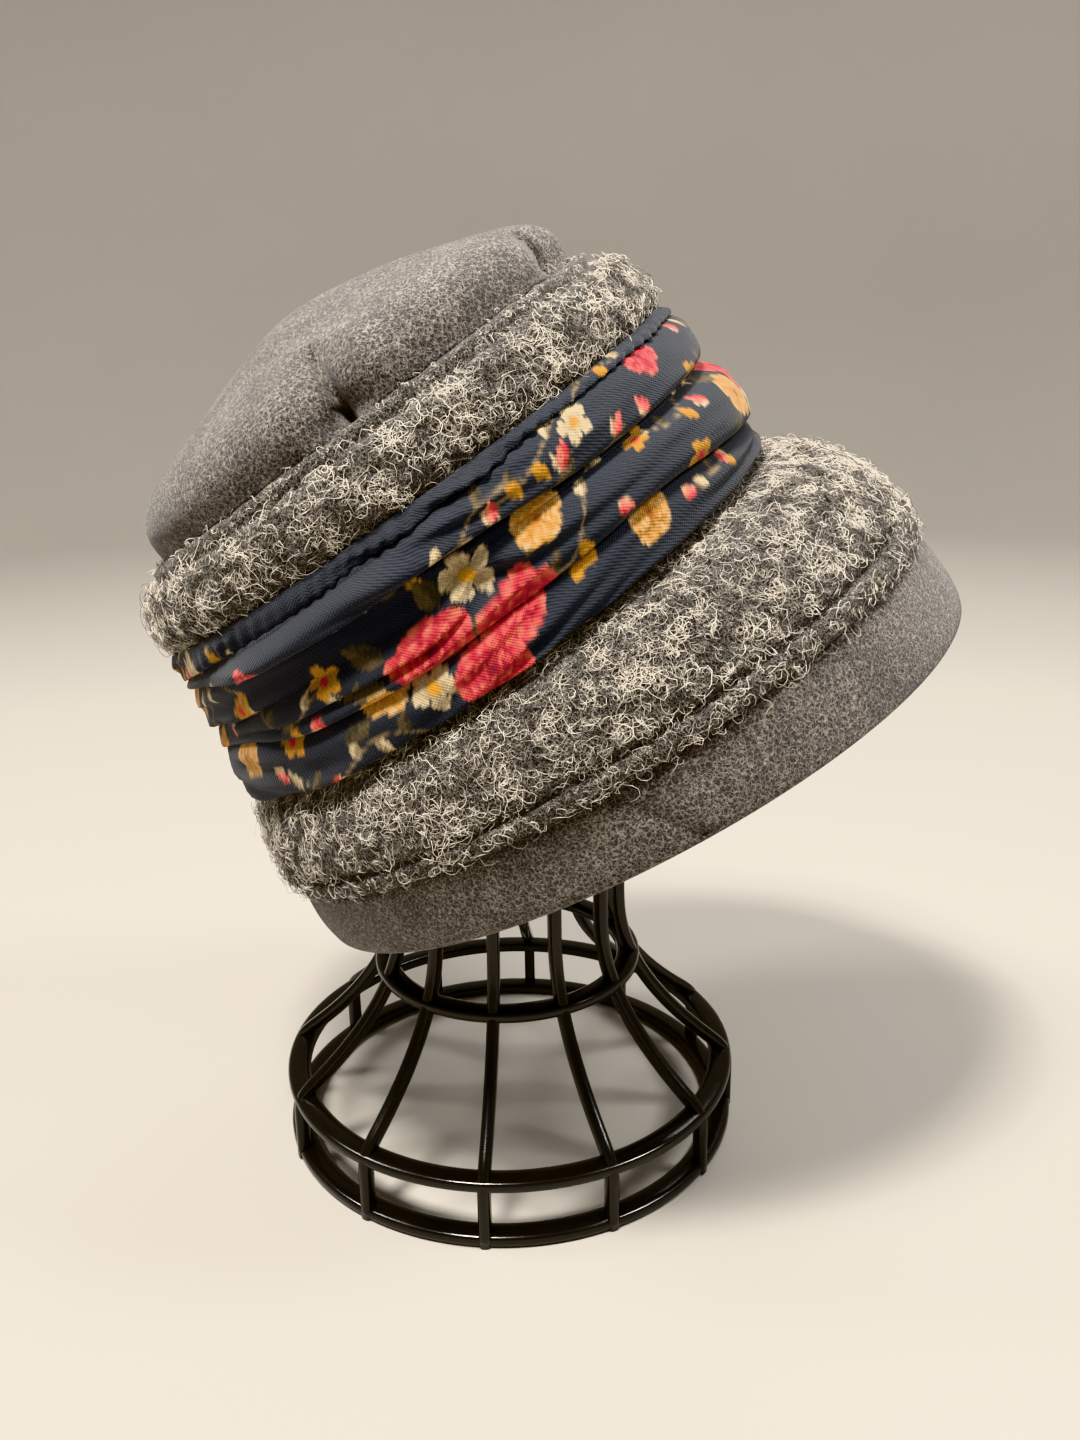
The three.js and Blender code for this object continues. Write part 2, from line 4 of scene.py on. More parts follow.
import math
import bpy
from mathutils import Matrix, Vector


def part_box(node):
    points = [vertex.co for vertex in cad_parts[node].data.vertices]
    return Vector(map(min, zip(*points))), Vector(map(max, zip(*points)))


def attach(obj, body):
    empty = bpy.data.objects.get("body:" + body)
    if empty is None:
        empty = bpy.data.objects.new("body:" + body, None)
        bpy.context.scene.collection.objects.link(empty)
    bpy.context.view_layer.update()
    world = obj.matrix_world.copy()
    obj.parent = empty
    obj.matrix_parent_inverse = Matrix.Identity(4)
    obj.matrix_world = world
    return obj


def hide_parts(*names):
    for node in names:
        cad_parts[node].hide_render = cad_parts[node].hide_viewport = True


bl_info = {
    "name": "Cloche Hat on a Lattice Stand",
    "version": (1, 0, 0),
    "blender": (4, 5, 0),
    "location": "View3D > Sidebar > Cloche",
    "description": "Builds a melton and boucle cloche with a ruched floral band on its stand",
    "category": "Add Mesh",
}

import bpy
import numpy as np
from bpy.props import FloatProperty, FloatVectorProperty, IntProperty, PointerProperty
from mathutils import Matrix

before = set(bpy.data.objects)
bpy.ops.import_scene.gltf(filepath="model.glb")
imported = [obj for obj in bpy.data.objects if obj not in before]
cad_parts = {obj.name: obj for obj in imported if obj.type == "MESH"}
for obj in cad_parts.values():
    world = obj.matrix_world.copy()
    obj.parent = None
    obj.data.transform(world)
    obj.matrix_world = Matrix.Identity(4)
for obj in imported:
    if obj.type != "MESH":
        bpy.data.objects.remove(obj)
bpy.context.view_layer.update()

FULL_TURN = 2 * math.pi
MILLIMETRE = 0.001
RIBS = [name for name in sorted(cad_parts) if name.startswith("rib_")]


def columns(names, rows):
    """Table with named columns, one row for each section or fold."""
    return np.array(rows, dtype=[(name, float) for name in names.split()])


# Wool tip from its top to the crown seam, as shares of its rise and half length
TIP_ROWS = columns("rise spread", [
    (1.0, 0), (0.965, 0.16), (0.88, 0.34), (0.77, 0.51), (0.62, 0.69),
    (0.47, 0.85), (0.36, 0.93), (0.22, 0.98), (0, 1),
])

# Side wall below the crown seam: rise is a share of its height, taper the share of
# the way from the head's length to the crown's
SIDE_ROWS = columns("rise taper", [
    (0.97, 0.7), (0.92, 0.43), (0.84, 0.215), (0.757, 0.13),
    (0.68, 0.2), (0.5, 0.18), (0.25, 0.09), (0, 0),
])

# Brim below the head seam: drop is a share of its height, flare the share of the
# way from the head's length to the rim's
BRIM_ROWS = columns("drop flare", [
    (0.1, 0.31), (0.2, 0.52), (0.3, 0.67), (0.4, 0.78), (0.5, 0.86),
    (0.6, 0.91), (0.75, 0.945), (0.9, 0.98), (1, 1),
])

# Tucks of the tip at the crown seam: angle from the front and width in degrees
TUCKS = columns("angle depth reach width", [
    (-87, 1, 0.48, 7), (-20, 0.6, 0.3, 8), (80, 0.85, 0.3, 8), (171, 0.9, 0.34, 8),
])

# Folds of the band at angles from the front: creases as shares of its height from
# the lower edge up, and folds as shares of their full height
BAND_ROWS = columns(
    "angle roll_crease upper_crease pocket_crease lower_crease roll upper pocket middle lower", [
        (-180, 0.8, 0.75, 0.47, 0.36, 0.35, 0.15, 0.5, 0.35, 0.6),
        (-145, 0.85, 0.78, 0.49, 0.39, 0.3, 0.5, 0.3, 0.45, 0.75),
        (-120, 0.89, 0.76, 0.51, 0.3, 0.4, 0.9, 0.05, 0.65, 0.8),
        (-98, 0.92, 0.745, 0.5, 0.28, 0.4, 0.95, 0, 0.7, 0.75),
        (-80, 0.935, 0.69, 0.6, 0.3, 0.4, 0.6, 0.05, 0.6, 0.6),
        (-55, 0.95, 0.645, 0.61, 0.33, 0.35, 0.6, 0.15, 0.75, 0.55),
        (-10, 0.955, 0.65, 0.61, 0.23, 0.35, 0.65, 0.15, 0.95, 0.6),
        (50, 0.93, 0.68, 0.62, 0.31, 0.45, 0.75, 0.2, 0.8, 0.7),
        (90, 0.9, 0.72, 0.56, 0.36, 0.45, 0.85, 0.3, 0.7, 0.8),
        (135, 0.86, 0.74, 0.52, 0.38, 0.4, 0.5, 0.5, 0.55, 0.7),
    ])

# Folds from the top edge down, with the grid rows that each one gets
FOLDS = (("roll", 9), ("upper", 20), ("pocket", 13), ("middle", 22), ("lower", 20))

# Places where the band is gathered: fine pleats run out from them over a reach in
# degrees, as many as given over the band's height
GATHERS = columns("angle reach pleats slant", [
    (-84, 17, 8, 2.2), (-150, 20, 6, -1.5), (35, 22, 6, 1.5), (118, 20, 7, -2),
])

# Places where the band is pinched down to the cloth under it: angle and width in
# degrees, place and height as shares of the band's height
PINCHES = columns("angle share width height depth", [
    (-82.5, 0.5, 4.5, 0.07, 1), (-78, 0.63, 9, 0.025, 0.7), (30, 0.62, 6, 0.05, 0.8),
    (117, 0.5, 5, 0.07, 0.9), (-152, 0.49, 5, 0.07, 0.9),
])

# Repeats of the print round the band
PRINT_REPEATS = 4

# Motifs of one repeat, in millimetres from the middle of its lower edge. A tint of 1 is
# a yellow rose or blossom.
ROSES = columns("across up size turn tint", [
    (2, 20, 10.5, 1.9, 0), (-9, 43, 13.5, 0.4, 0), (15, 35, 12.5, 1.2, 0),
    (-27, 29, 8.5, 0.2, 1), (32, 52, 8.5, 2.4, 1), (-57, 66, 7, 0.9, 0), (58, 14, 7.5, 0.1, 1),
])
BLOSSOMS = columns("across up size turn tint", [
    (9, 57, 8.5, 0.3, 0), (-13, 24, 7, 0.9, 0), (36, 26, 6.5, 0.1, 1), (-40, 50, 6, 0.7, 1),
    (54, 68, 5.5, 0.2, 0), (-62, 20, 5.5, 0.5, 1), (68, 40, 4.5, 0.4, 1),
])
DARK_LEAVES = columns("across up length width turn", [
    (-20, 50, 15, 8, 2.5), (-1, 55, 13, 7, 1.8), (24, 46, 15, 8, 0.7), (27, 30, 15, 8, -0.3),
    (12, 14, 13, 7, -0.9), (-10, 12, 13, 7, -2.2), (-24, 38, 14, 7.5, 3.0), (3, 34, 12, 8, 1.2),
    (-33, 22, 12, 6, -2.6), (38, 56, 12, 6, 0.5),
])
VINES = columns("across up wave height run", [
    (45, 44, 9, 5, 52), (-52, 40, 8, -7, 46), (50, 74, 4, 3, 60), (-44, 10, 5, 3, 48), (6, 72, 4, -3, 56),
])
BUDS = columns("across up length turn", [
    (44, 62, 7, 1.0), (-46, 31, 7, 2.2), (62, 55, 6, 0.6), (-68, 52, 6.5, 1.9), (50, 33, 6, -0.8),
    (-50, 8, 6, -1.9), (22, 68, 6, 1.3), (-28, 66, 6.5, 2.0), (70, 8, 6, -0.4), (26, 9, 5.5, -1.2),
])

# Rings of a printed rose's petals, from the outer ring in
ROSE_RINGS = columns("share petals phase", [(1, 5, 0), (0.74, 5, 0.62), (0.5, 4, 0.2), (0.29, 3, 0.9)])

# Seams sewn across the cloth: angles from the front in degrees and heights above
# the rim, as shares of the brim's height
HEM_JOIN = {"from": (-91.0, 0.4), "to": (-83.5, 0.0)}
BRIM_JOIN = {"from": (-88.5, 0.85), "to": (-91.5, 0.64)}

# Power of the height by which the ribs sweep out from the neck to the shoulder
SWEEP_POWER = 2.1

# Lights of the stage: name, place, width, watts and tint
LIGHTS = (
    ("key_light", (-0.32, -0.45, 1.5), 0.3, 36, (1, 0.95, 0.88)),
    ("left_light", (-1.0, 0.1, 1.3), 0.35, 12, (1, 0.97, 0.92)),
    ("right_light", (1.0, -0.15, 1.4), 0.35, 17, (1, 0.98, 0.94)),
    ("back_light", (0.45, 0.8, 1.3), 0.5, 6, (1, 0.98, 0.95)),
)


def size(label, text, metres):
    """Length that a user may change."""
    return FloatProperty(name=label, description=text, default=metres, min=0, unit="LENGTH", precision=4)


def turning(label, text, degrees):
    """Angle that a user may change."""
    return FloatProperty(name=label, description=text, default=math.radians(degrees), subtype="ANGLE")


def amount(label, text, value):
    """Number of copies that a user may change."""
    return IntProperty(name=label, description=text, default=value, min=0)


def linear(red, green, blue):
    """Linear light of a colour given from 0 to 255: the usual power curve of screens."""
    return tuple(((value / 255 + 0.055) / 1.055) ** 2.4 for value in (red, green, blue))


def colour(label, text, red, green, blue):
    """Colour that a user may change, given from 0 to 255."""
    return FloatVectorProperty(
        name=label, description=text, default=linear(red, green, blue), subtype="COLOR", size=3, min=0, max=1)


def dim(tint, share):
    """Colour times a share."""
    return tuple(share * value for value in tint)


class HatSizes(bpy.types.PropertyGroup):
    """Sizes of the hat, as the frame has them."""
    head_length: size("Head length", "Outside length at the head seam", 0.199)
    head_width: size("Head width", "Outside width at the head seam", 0.172)
    crown_length: size("Crown length", "Length at the crown seam", 0.165)
    rim_length: size("Rim length", "Length at the rim of the brim", 0.252)
    side_height: size("Side height", "From the head seam to the crown seam", 0.080)
    tip_rise: size("Tip rise", "From the crown seam to the top", 0.0387)
    brim_drop: size("Brim drop", "From the head seam to the rim", 0.0655)
    band_height: size("Band height", "Height of the floral band", 0.0544)
    hem_height: size("Hem height", "Height of the melton hem", 0.026)
    head_setback: size("Head setback", "How far the head seam lies behind the rim", 0.0135)
    crown_setback: size("Crown setback", "How far the crown seam lies behind the rim", 0.0162)
    head_lift: size("Head lift", "How far the head seam's front stands up", 0.0042)
    crown_lift: size("Crown lift", "How far the crown seam's front stands up", 0.0054)
    rim_dip: size("Rim dip", "How far the rim's front hangs down", 0.0058)
    rim_sag: size("Rim sag", "How far the rim's sides stand up", 0.0023)
    melton_wall: size("Melton wall", "Thickness of the tip", 0.0024)
    boucle_wall: size("Boucle wall", "Thickness of the side", 0.003)
    hem_wall: size("Hem wall", "Thickness of the hem", 0.004)
    band_cloth: size("Band cloth", "Thickness of the band", 0.0016)
    band_ease: size("Band ease", "Room under the band", 0.0006)
    fold_height: size("Fold height", "Full height of the band's folds", 0.0088)
    tuck_depth: size("Tuck depth", "Full depth of the tip's tucks", 0.008)
    tip_puff: size("Tip puff", "How far the tip puffs over its seam", 0.0022)
    boucle_proud: size("Boucle proud", "How far the brim's boucle swells", 0.0026)
    side_proud: size("Side proud", "How far the side's boucle swells", 0.0016)
    welt_depth: size("Welt depth", "Depth of the stitched groove", 0.003)
    welt_setback: size("Welt setback", "From the groove to the edge of the boucle", 0.007)
    ridge_width: size("Ridge width", "Width of the stitched ridge under the tip", 0.0036)
    tilt: turning("Tilt", "How far the front is tilted up", 30.43)
    turn: turning("Turn", "How far the hat is turned to the wearer's left", 1.87)
    roll: turning("Roll", "How far the hat leans to a side", 0.63)


class ClothSizes(bpy.types.PropertyGroup):
    """Fine relief and fibres of the cloths."""
    lump_height: size("Lump height", "Height of the boucle's lumps", 0.0008)
    lump_spacing: size("Lump spacing", "Width of the boucle's lumps", 0.0052)
    nub_height: size("Nub height", "Height of the boucle's small nubs", 0.0004)
    nub_spacing: size("Nub spacing", "Width of the boucle's small nubs", 0.0021)
    curl_length: size("Curl length", "Length of a boucle fibre", 0.0105)
    curl_radius: size("Curl radius", "Radius of a boucle fibre", 0.000085)
    curl_rise: size("Curl rise", "How far a fibre stands off the cloth", 0.0019)
    wrinkle_height: size("Wrinkle height", "Height of the band's fine wrinkles", 0.0008)
    pleat_height: size("Pleat height", "Height of the pleats at the gathers", 0.0011)
    side_curls: amount("Side curls", "Fibres on the side", 4900)
    brim_curls: amount("Brim curls", "Fibres on each of the brim's two layers", 5000)


class StandSizes(bpy.types.PropertyGroup):
    """Sizes of the stand, as the frame has them."""
    base_radius: size("Base radius", "Outside of the base ring", 0.0867)
    ring_height: size("Ring height", "Height of a level ring", 0.0046)
    ring_depth: size("Ring depth", "Width of a level ring", 0.0086)
    shoulder_height: size("Shoulder height", "Underside of the shoulder ring", 0.0215)
    neck_ring_height: size("Neck ring height", "Underside of the neck ring", 0.0634)
    neck_top: size("Neck top", "Where the ribs reach the neck", 0.090)
    neck_radius: size("Neck radius", "Outside of the neck", 0.045)
    neck_bend: size("Neck bend", "Radius of the bend from the neck to the globe", 0.022)
    globe_radius: size("Globe radius", "Outside of the globe", 0.075)
    globe_height: size("Globe height", "Middle of the globe", 0.2272)
    cap_radius: size("Cap radius", "Edge of the globe's cap", 0.015)
    rib_width: size("Rib width", "Width of a rib", 0.005)
    rib_depth: size("Rib depth", "Depth of a rib", 0.005)
    rib_proud: size("Rib proud", "How far a rib stands off the rings", 0.0006)
    rib_turn: turning("Rib turn", "Direction of the first rib", 25)


class Finishes(bpy.types.PropertyGroup):
    """Colours of the cloths, the print and the stand."""
    melton_dark: colour("Melton dark", "Shade between the melton's fibres", 23, 21, 21)
    melton_mid: colour("Melton", "Melton wool", 56, 52, 50)
    melton_pale: colour("Melton pale", "Pale fibres of the melton", 160, 150, 140)
    boucle_dark: colour("Boucle dark", "Ground of the boucle", 22, 20, 18)
    boucle_mid: colour("Boucle", "Middle grey of the boucle", 112, 103, 93)
    boucle_pale: colour("Boucle pale", "Pale fibres of the boucle", 255, 246, 231)
    navy: colour("Navy", "Ground of the print", 34, 40, 51)
    crimson: colour("Crimson", "Roses", 194, 26, 60)
    wine: colour("Wine", "Hearts of the roses", 80, 6, 22)
    peach: colour("Peach", "Petal edges", 236, 148, 118)
    mustard: colour("Mustard", "Yellow roses", 198, 140, 36)
    rust: colour("Rust", "Hearts of the yellow roses", 132, 62, 20)
    cream: colour("Cream", "Blossoms and leaves", 222, 202, 164)
    fawn: colour("Fawn", "Vines and leaf veins", 128, 110, 82)
    olive: colour("Olive", "Dark leaves", 46, 46, 32)
    moulding: colour("Moulding", "Stand", 15, 13, 11)
    floor: colour("Floor", "Floor and backdrop", 184, 179, 172)


def lerp(start, end, part):
    """Value at a share of the way from start to end."""
    return start + (end - start) * part


def smooth(value):
    """Value held between 0 and 1 and eased at both ends: 3v^2 - 2v^3."""
    held = np.clip(value, 0, 1)
    return held * held * (3 - 2 * held)


def bell(value):
    """Bell curve of height 1 and width 1: e^(-v^2)."""
    return np.exp(-np.square(value))


def turn_between(degrees, other):
    """Turn from one direction to another, from -180 to 180 degrees."""
    return (degrees - other + 180) % 360 - 180


def noise(points, cell, seed):
    """Smooth random field from -1 to 1: random values at the corners of a lattice of
    the given cell, blended with eased weights."""
    place = points / cell
    corner = np.floor(place).astype(np.int64)
    part = smooth(place - corner)
    primes = np.array([73856093, 19349663, 83492791])
    total = 0
    for index in range(8):
        step = np.array([index & 1, index >> 1 & 1, index >> 2 & 1])
        key = ((corner + step) @ primes + seed * 40503) & 0x7FFFFFFF
        key = ((key ^ key >> 13) * 1274126177) & 0x7FFFFFFF
        key = ((key ^ key >> 15) * 668265263) & 0x7FFFFFFF
        weight = np.prod(np.where(step, part, 1 - part), axis=-1)
        total = total + weight * ((key & 0xFFFF) / 0x7FFF - 1)
    return total


class HatForm:
    """Outer surface of the hat: ellipses through a table of rings, joined by smooth
    curves, set on the stand where the frame has the side wall."""

    def __init__(self, sizes):
        self.sizes = sizes
        self.crown_seam = len(TIP_ROWS) - 1
        self.head_seam = self.crown_seam + len(SIDE_ROWS)
        self.rim = self.head_seam + len(BRIM_ROWS)
        spread, rise = TIP_ROWS["spread"], SIDE_ROWS["rise"]
        drop, flare = BRIM_ROWS["drop"], BRIM_ROWS["flare"]
        head, crown, rim = sizes.head_length, sizes.crown_length, sizes.rim_length
        top = sizes.brim_drop + sizes.side_height
        self.half = 0.5 * np.concatenate(
            [spread * crown, lerp(head, crown, SIDE_ROWS["taper"]), lerp(head, rim, flare)])
        self.setback = np.concatenate([
            0 * spread + sizes.crown_setback, lerp(sizes.head_setback, sizes.crown_setback, rise),
            sizes.head_setback * (1 - flare)])
        self.height = np.concatenate([
            top + TIP_ROWS["rise"] * sizes.tip_rise, sizes.brim_drop + sizes.side_height * rise,
            sizes.brim_drop * (1 - drop)])
        self.lift = np.concatenate([
            sizes.crown_lift * spread, lerp(sizes.head_lift, sizes.crown_lift, rise),
            lerp(sizes.head_lift, -sizes.rim_dip, drop)])
        self.sag = np.concatenate([0 * spread, 0 * rise, -sizes.rim_sag * drop])
        self.turn = np.array(
            Matrix.Rotation(sizes.turn, 3, "Z") @ Matrix.Rotation(sizes.roll, 3, "X")
            @ Matrix.Rotation(-sizes.tilt, 3, "Y"))
        self.place = self.middle_in_frame()

    def middle_in_frame(self):
        """Place of the rim's middle: the one that lays the side wall's box on the frame's."""
        facets = 45
        angle = FULL_TURN * np.arange(facets) / facets
        station = np.arange(self.crown_seam, self.head_seam + 1)[:, None]
        wall = (self.point(station, angle) @ self.turn.T).reshape(-1, 3)
        low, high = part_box("crown_side")
        return (np.array(low) + np.array(high) - wall.min(0) - wall.max(0)) / 2

    def column(self, values, station):
        """Smooth curve through one column of the rings, with each ring's slope half
        the step between its neighbours."""
        first = np.clip(np.floor(station).astype(int), 0, self.rim - 1)
        part = station - first
        before, start, end, after = (
            values[np.clip(first + step, 0, self.rim)] for step in (-1, 0, 1, 2))
        slope, next_slope = (end - before) / 2, (after - start) / 2
        bend = 3 * (end - start) - 2 * slope - next_slope
        twist = 2 * (start - end) + slope + next_slope
        return start + slope * part + bend * part ** 2 + twist * part ** 3

    def station_at(self, height, first, last):
        """Ring number at which the surface reaches a height above the rim."""
        stations = np.linspace(first, last, 400)
        return np.interp(-height, -self.column(self.height, stations), stations)

    def point(self, station, angle):
        """Point of the surface in the hat's frame: an ellipse of the ring's half length,
        raised at the front by its lift and at its sides by its sag."""
        half = self.column(self.half, station)
        across = half * (self.sizes.head_width / self.sizes.head_length)
        return np.stack([
            half * np.cos(angle) - self.column(self.setback, station),
            across * np.sin(angle),
            self.column(self.height, station) + self.column(self.lift, station) * np.cos(angle)
            + self.column(self.sag, station) * np.cos(2 * angle)], axis=-1)

    def loose(self, station, angle, lift, along=0.0):
        """Point lifted off the surface along its normal and moved down along it, in the
        hat's frame. The normal is the cross product of the ways down and round."""
        step = 0.02
        station, angle, lift, along = np.broadcast_arrays(station, angle, lift, along)
        above = np.maximum(station - step, step)
        below = np.minimum(station + step, self.rim)
        round_way = self.point(station, angle + step) - self.point(station, angle - step)
        down = self.point(below, angle) - self.point(above, angle)
        down /= np.linalg.norm(down, axis=-1, keepdims=True)
        normal = np.cross(down, round_way)
        normal /= np.linalg.norm(normal, axis=-1, keepdims=True)
        return self.point(station, angle) + normal * lift[..., None] + down * along[..., None]

    def cloth(self, station, angle, lift, along=0.0):
        """The same point in the frame of the part."""
        return self.loose(station, angle, lift, along) @ self.turn.T + self.place


def ring_quads(rows, sides, closes=False):
    """Faces between neighbouring rings of a grid whose rings close on themselves."""
    row = np.arange(rows if closes else rows - 1)[:, None]
    side = np.arange(sides)[None, :]
    below, after = (row + 1) % rows, (side + 1) % sides
    return np.stack([
        row * sides + side, row * sides + after, below * sides + after, below * sides + side,
    ], axis=-1).reshape(-1, 4)


def fan(ring, centre):
    """Triangles from a ring of vertices to one in its middle."""
    return np.stack([ring, np.roll(ring, -1), np.full_like(ring, centre)], axis=-1)


def end_fans(rows, sides):
    """Triangles that close a grid of rings at both ends, each with a vertex that follows
    the grid's own."""
    count = rows * sides
    return np.concatenate([
        fan(np.arange(sides), count)[:, ::-1], fan(np.arange(count - sides, count), count + 1)])


def volume(points, quads, triangles):
    """Signed volume: a sixth of the sum of each triangle's corner product."""
    faces = np.concatenate([quads[:, [0, 1, 2]], quads[:, [0, 2, 3]], triangles])
    a, b, c = points[faces[:, 0]], points[faces[:, 1]], points[faces[:, 2]]
    return np.einsum("ij,ij->", a, np.cross(b, c)) / 6


def make_piece(name, points, quads, triangles, material, slot=None):
    """Object of quads and triangles with its faces turned outwards. With a slot it rides
    on the part."""
    points = points.reshape(-1, 3)
    triangles = np.empty((0, 3), int) if triangles is None else triangles
    if volume(points - points.mean(0), quads, triangles) < 0:
        quads, triangles = quads[:, ::-1], triangles[:, ::-1]
    mesh = bpy.data.meshes.new(name)
    corners = np.concatenate([quads.ravel(), triangles.ravel()]).astype(np.int32)
    totals = np.concatenate([np.full(len(quads), 4), np.full(len(triangles), 3)]).astype(np.int32)
    starts = (np.cumsum(totals) - totals).astype(np.int32)
    mesh.vertices.add(len(points))
    mesh.vertices.foreach_set("co", points.astype(np.float32).ravel())
    mesh.loops.add(len(corners))
    mesh.loops.foreach_set("vertex_index", corners)
    mesh.polygons.add(len(totals))
    mesh.polygons.foreach_set("loop_start", starts)
    mesh.polygons.foreach_set("use_smooth", np.ones(len(totals), bool))
    mesh.update(calc_edges=True)
    mesh.materials.append(material)
    piece = bpy.data.objects.new(name, mesh)
    bpy.context.scene.collection.objects.link(piece)
    if slot:
        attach(piece, "root")
    return piece


def make_wall(name, rings, material, slot):
    """Piece whose last ring of points joins its first."""
    return make_piece(name, rings, ring_quads(*rings.shape[:2], closes=True), None, material, slot)


def paint_values(piece, name, values, kind="FLOAT"):
    """Named values at a piece's vertices, for its material."""
    attribute = piece.data.attributes.new(name, kind, "POINT")
    field = "value" if kind == "FLOAT" else "color"
    attribute.data.foreach_set(field, values.astype(np.float32).ravel())


def around(sides):
    """Angles round the hat, one for each side of a grid."""
    return FULL_TURN * np.arange(sides) / sides


def unfolded(form, angle, height):
    """Place on the cloth laid flat: the arc round the head, and the height."""
    return np.stack(np.broadcast_arrays(angle * form.sizes.head_length / 2, height), axis=-1)


def seam_groove(form, join, angle, height, width):
    """Depth share of a seam across the cloth: a bell curve of the distance from the
    line between its two ends."""
    centred = (angle + math.pi) % FULL_TURN - math.pi
    place = unfolded(form, centred, height)
    start, end = (
        unfolded(form, math.radians(turn), share * form.sizes.brim_drop)
        for turn, share in (join["from"], join["to"]))
    run = end - start
    part = np.clip((place - start) @ run / (run @ run), 0, 1)
    return bell(np.linalg.norm(place - start - part[..., None] * run, axis=-1) / width)


def lumps(points, fibres, seed):
    """Uneven face of boucle: broad lumps and small nubs."""
    return (fibres.lump_height * noise(points, fibres.lump_spacing, seed)
            + fibres.nub_height * noise(points, fibres.nub_spacing, seed + 1))


def tip_relief(sizes, angle, height):
    """Relief of the tip: it puffs over its seam, sinks in a bell curve at each tuck,
    with a slit in its middle, and swells beside it. The seam holds the tucks together."""
    puff_reach, fade_power, seam_share, held_by_seam = 0.6, 0.6, 0.5, 0.06
    slit_width, slit_depth = 0.2, 1.5
    flank_place, flank_width, flank_height = 1.5, 0.8, 0.3
    opening = lerp(seam_share, 1, smooth(height / held_by_seam))
    relief = sizes.tip_puff * np.sin(np.pi * np.minimum(height / puff_reach, 1))
    for tuck in TUCKS:
        across = turn_between(np.degrees(angle), tuck["angle"]) / tuck["width"]
        fade = opening * np.maximum(1 - height / tuck["reach"], 0) ** fade_power
        sink = bell(across) + slit_depth * bell(across / slit_width)
        flank = flank_height * bell((np.abs(across) - flank_place) / flank_width)
        relief = relief + sizes.tuck_depth * tuck["depth"] * fade * (flank - sink)
    return relief


class CLOCHE_OT_crown_tip(bpy.types.Operator):
    """Domed melton tip, gathered into the crown seam with four tucks"""
    bl_idname = "cloche.crown_tip"
    bl_label = "Melton tip"

    def execute(self, context):
        sizes = context.scene.cloche_hat
        form = HatForm(sizes)
        angle = around(400)
        outer_station = np.linspace(0.3, form.crown_seam, 58)[:, None]
        inner_station = np.linspace(form.crown_seam, 0.6, 12)[:, None]
        billow, billow_width, billow_seed = 0.0007, 0.026, 3

        def wall(station, inside):
            share = 1 - station / form.crown_seam
            rough = billow * share * noise(form.loose(station, angle, 0), billow_width, billow_seed)
            return form.cloth(station, angle, tip_relief(sizes, angle, share) - inside + rough)

        rings = np.concatenate([wall(outer_station, 0), wall(inner_station, sizes.melton_wall)])
        top = form.point(0.0, 0.0)
        poles = np.stack([top, top - (0, 0, sizes.melton_wall)]) @ form.turn.T + form.place
        points = np.concatenate([rings.reshape(-1, 3), poles])
        grid = rings.shape[:2]
        tip = make_piece(
            "melton_tip", points, ring_quads(*grid), end_fans(*grid), melton_material(context), "melton")
        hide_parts("crown_tip")
        return {"FINISHED"}


def scatter(grid, thickness, count, random):
    """Random places on a grid of points, as many to each area and thinned out by row:
    the corners of a random cell blended by random shares, with the ways out, down and
    round, and the row's thickness."""
    after = np.roll(grid, -1, axis=1)
    down = grid[1:] - grid[:-1]
    across = (after - grid)[:-1]
    normal = np.cross(down, across)
    area = np.linalg.norm(normal, axis=-1)
    weight = area * thickness[:-1]
    cell = random.choice(area.size, count, p=(weight / weight.sum()).ravel())
    row, side = np.unravel_index(cell, area.shape)
    fall, shift = random.random((2, count, 1))
    upper = lerp(grid[row, side], after[row, side], shift)
    lower = lerp(grid[row + 1, side], after[row + 1, side], shift)
    unit = lambda way: way / np.linalg.norm(way, axis=-1, keepdims=True)
    out, round_way = unit(normal[row, side]), unit(across[row, side])
    return lerp(upper, lower, fall), out, np.cross(round_way, out), round_way, thickness[row]


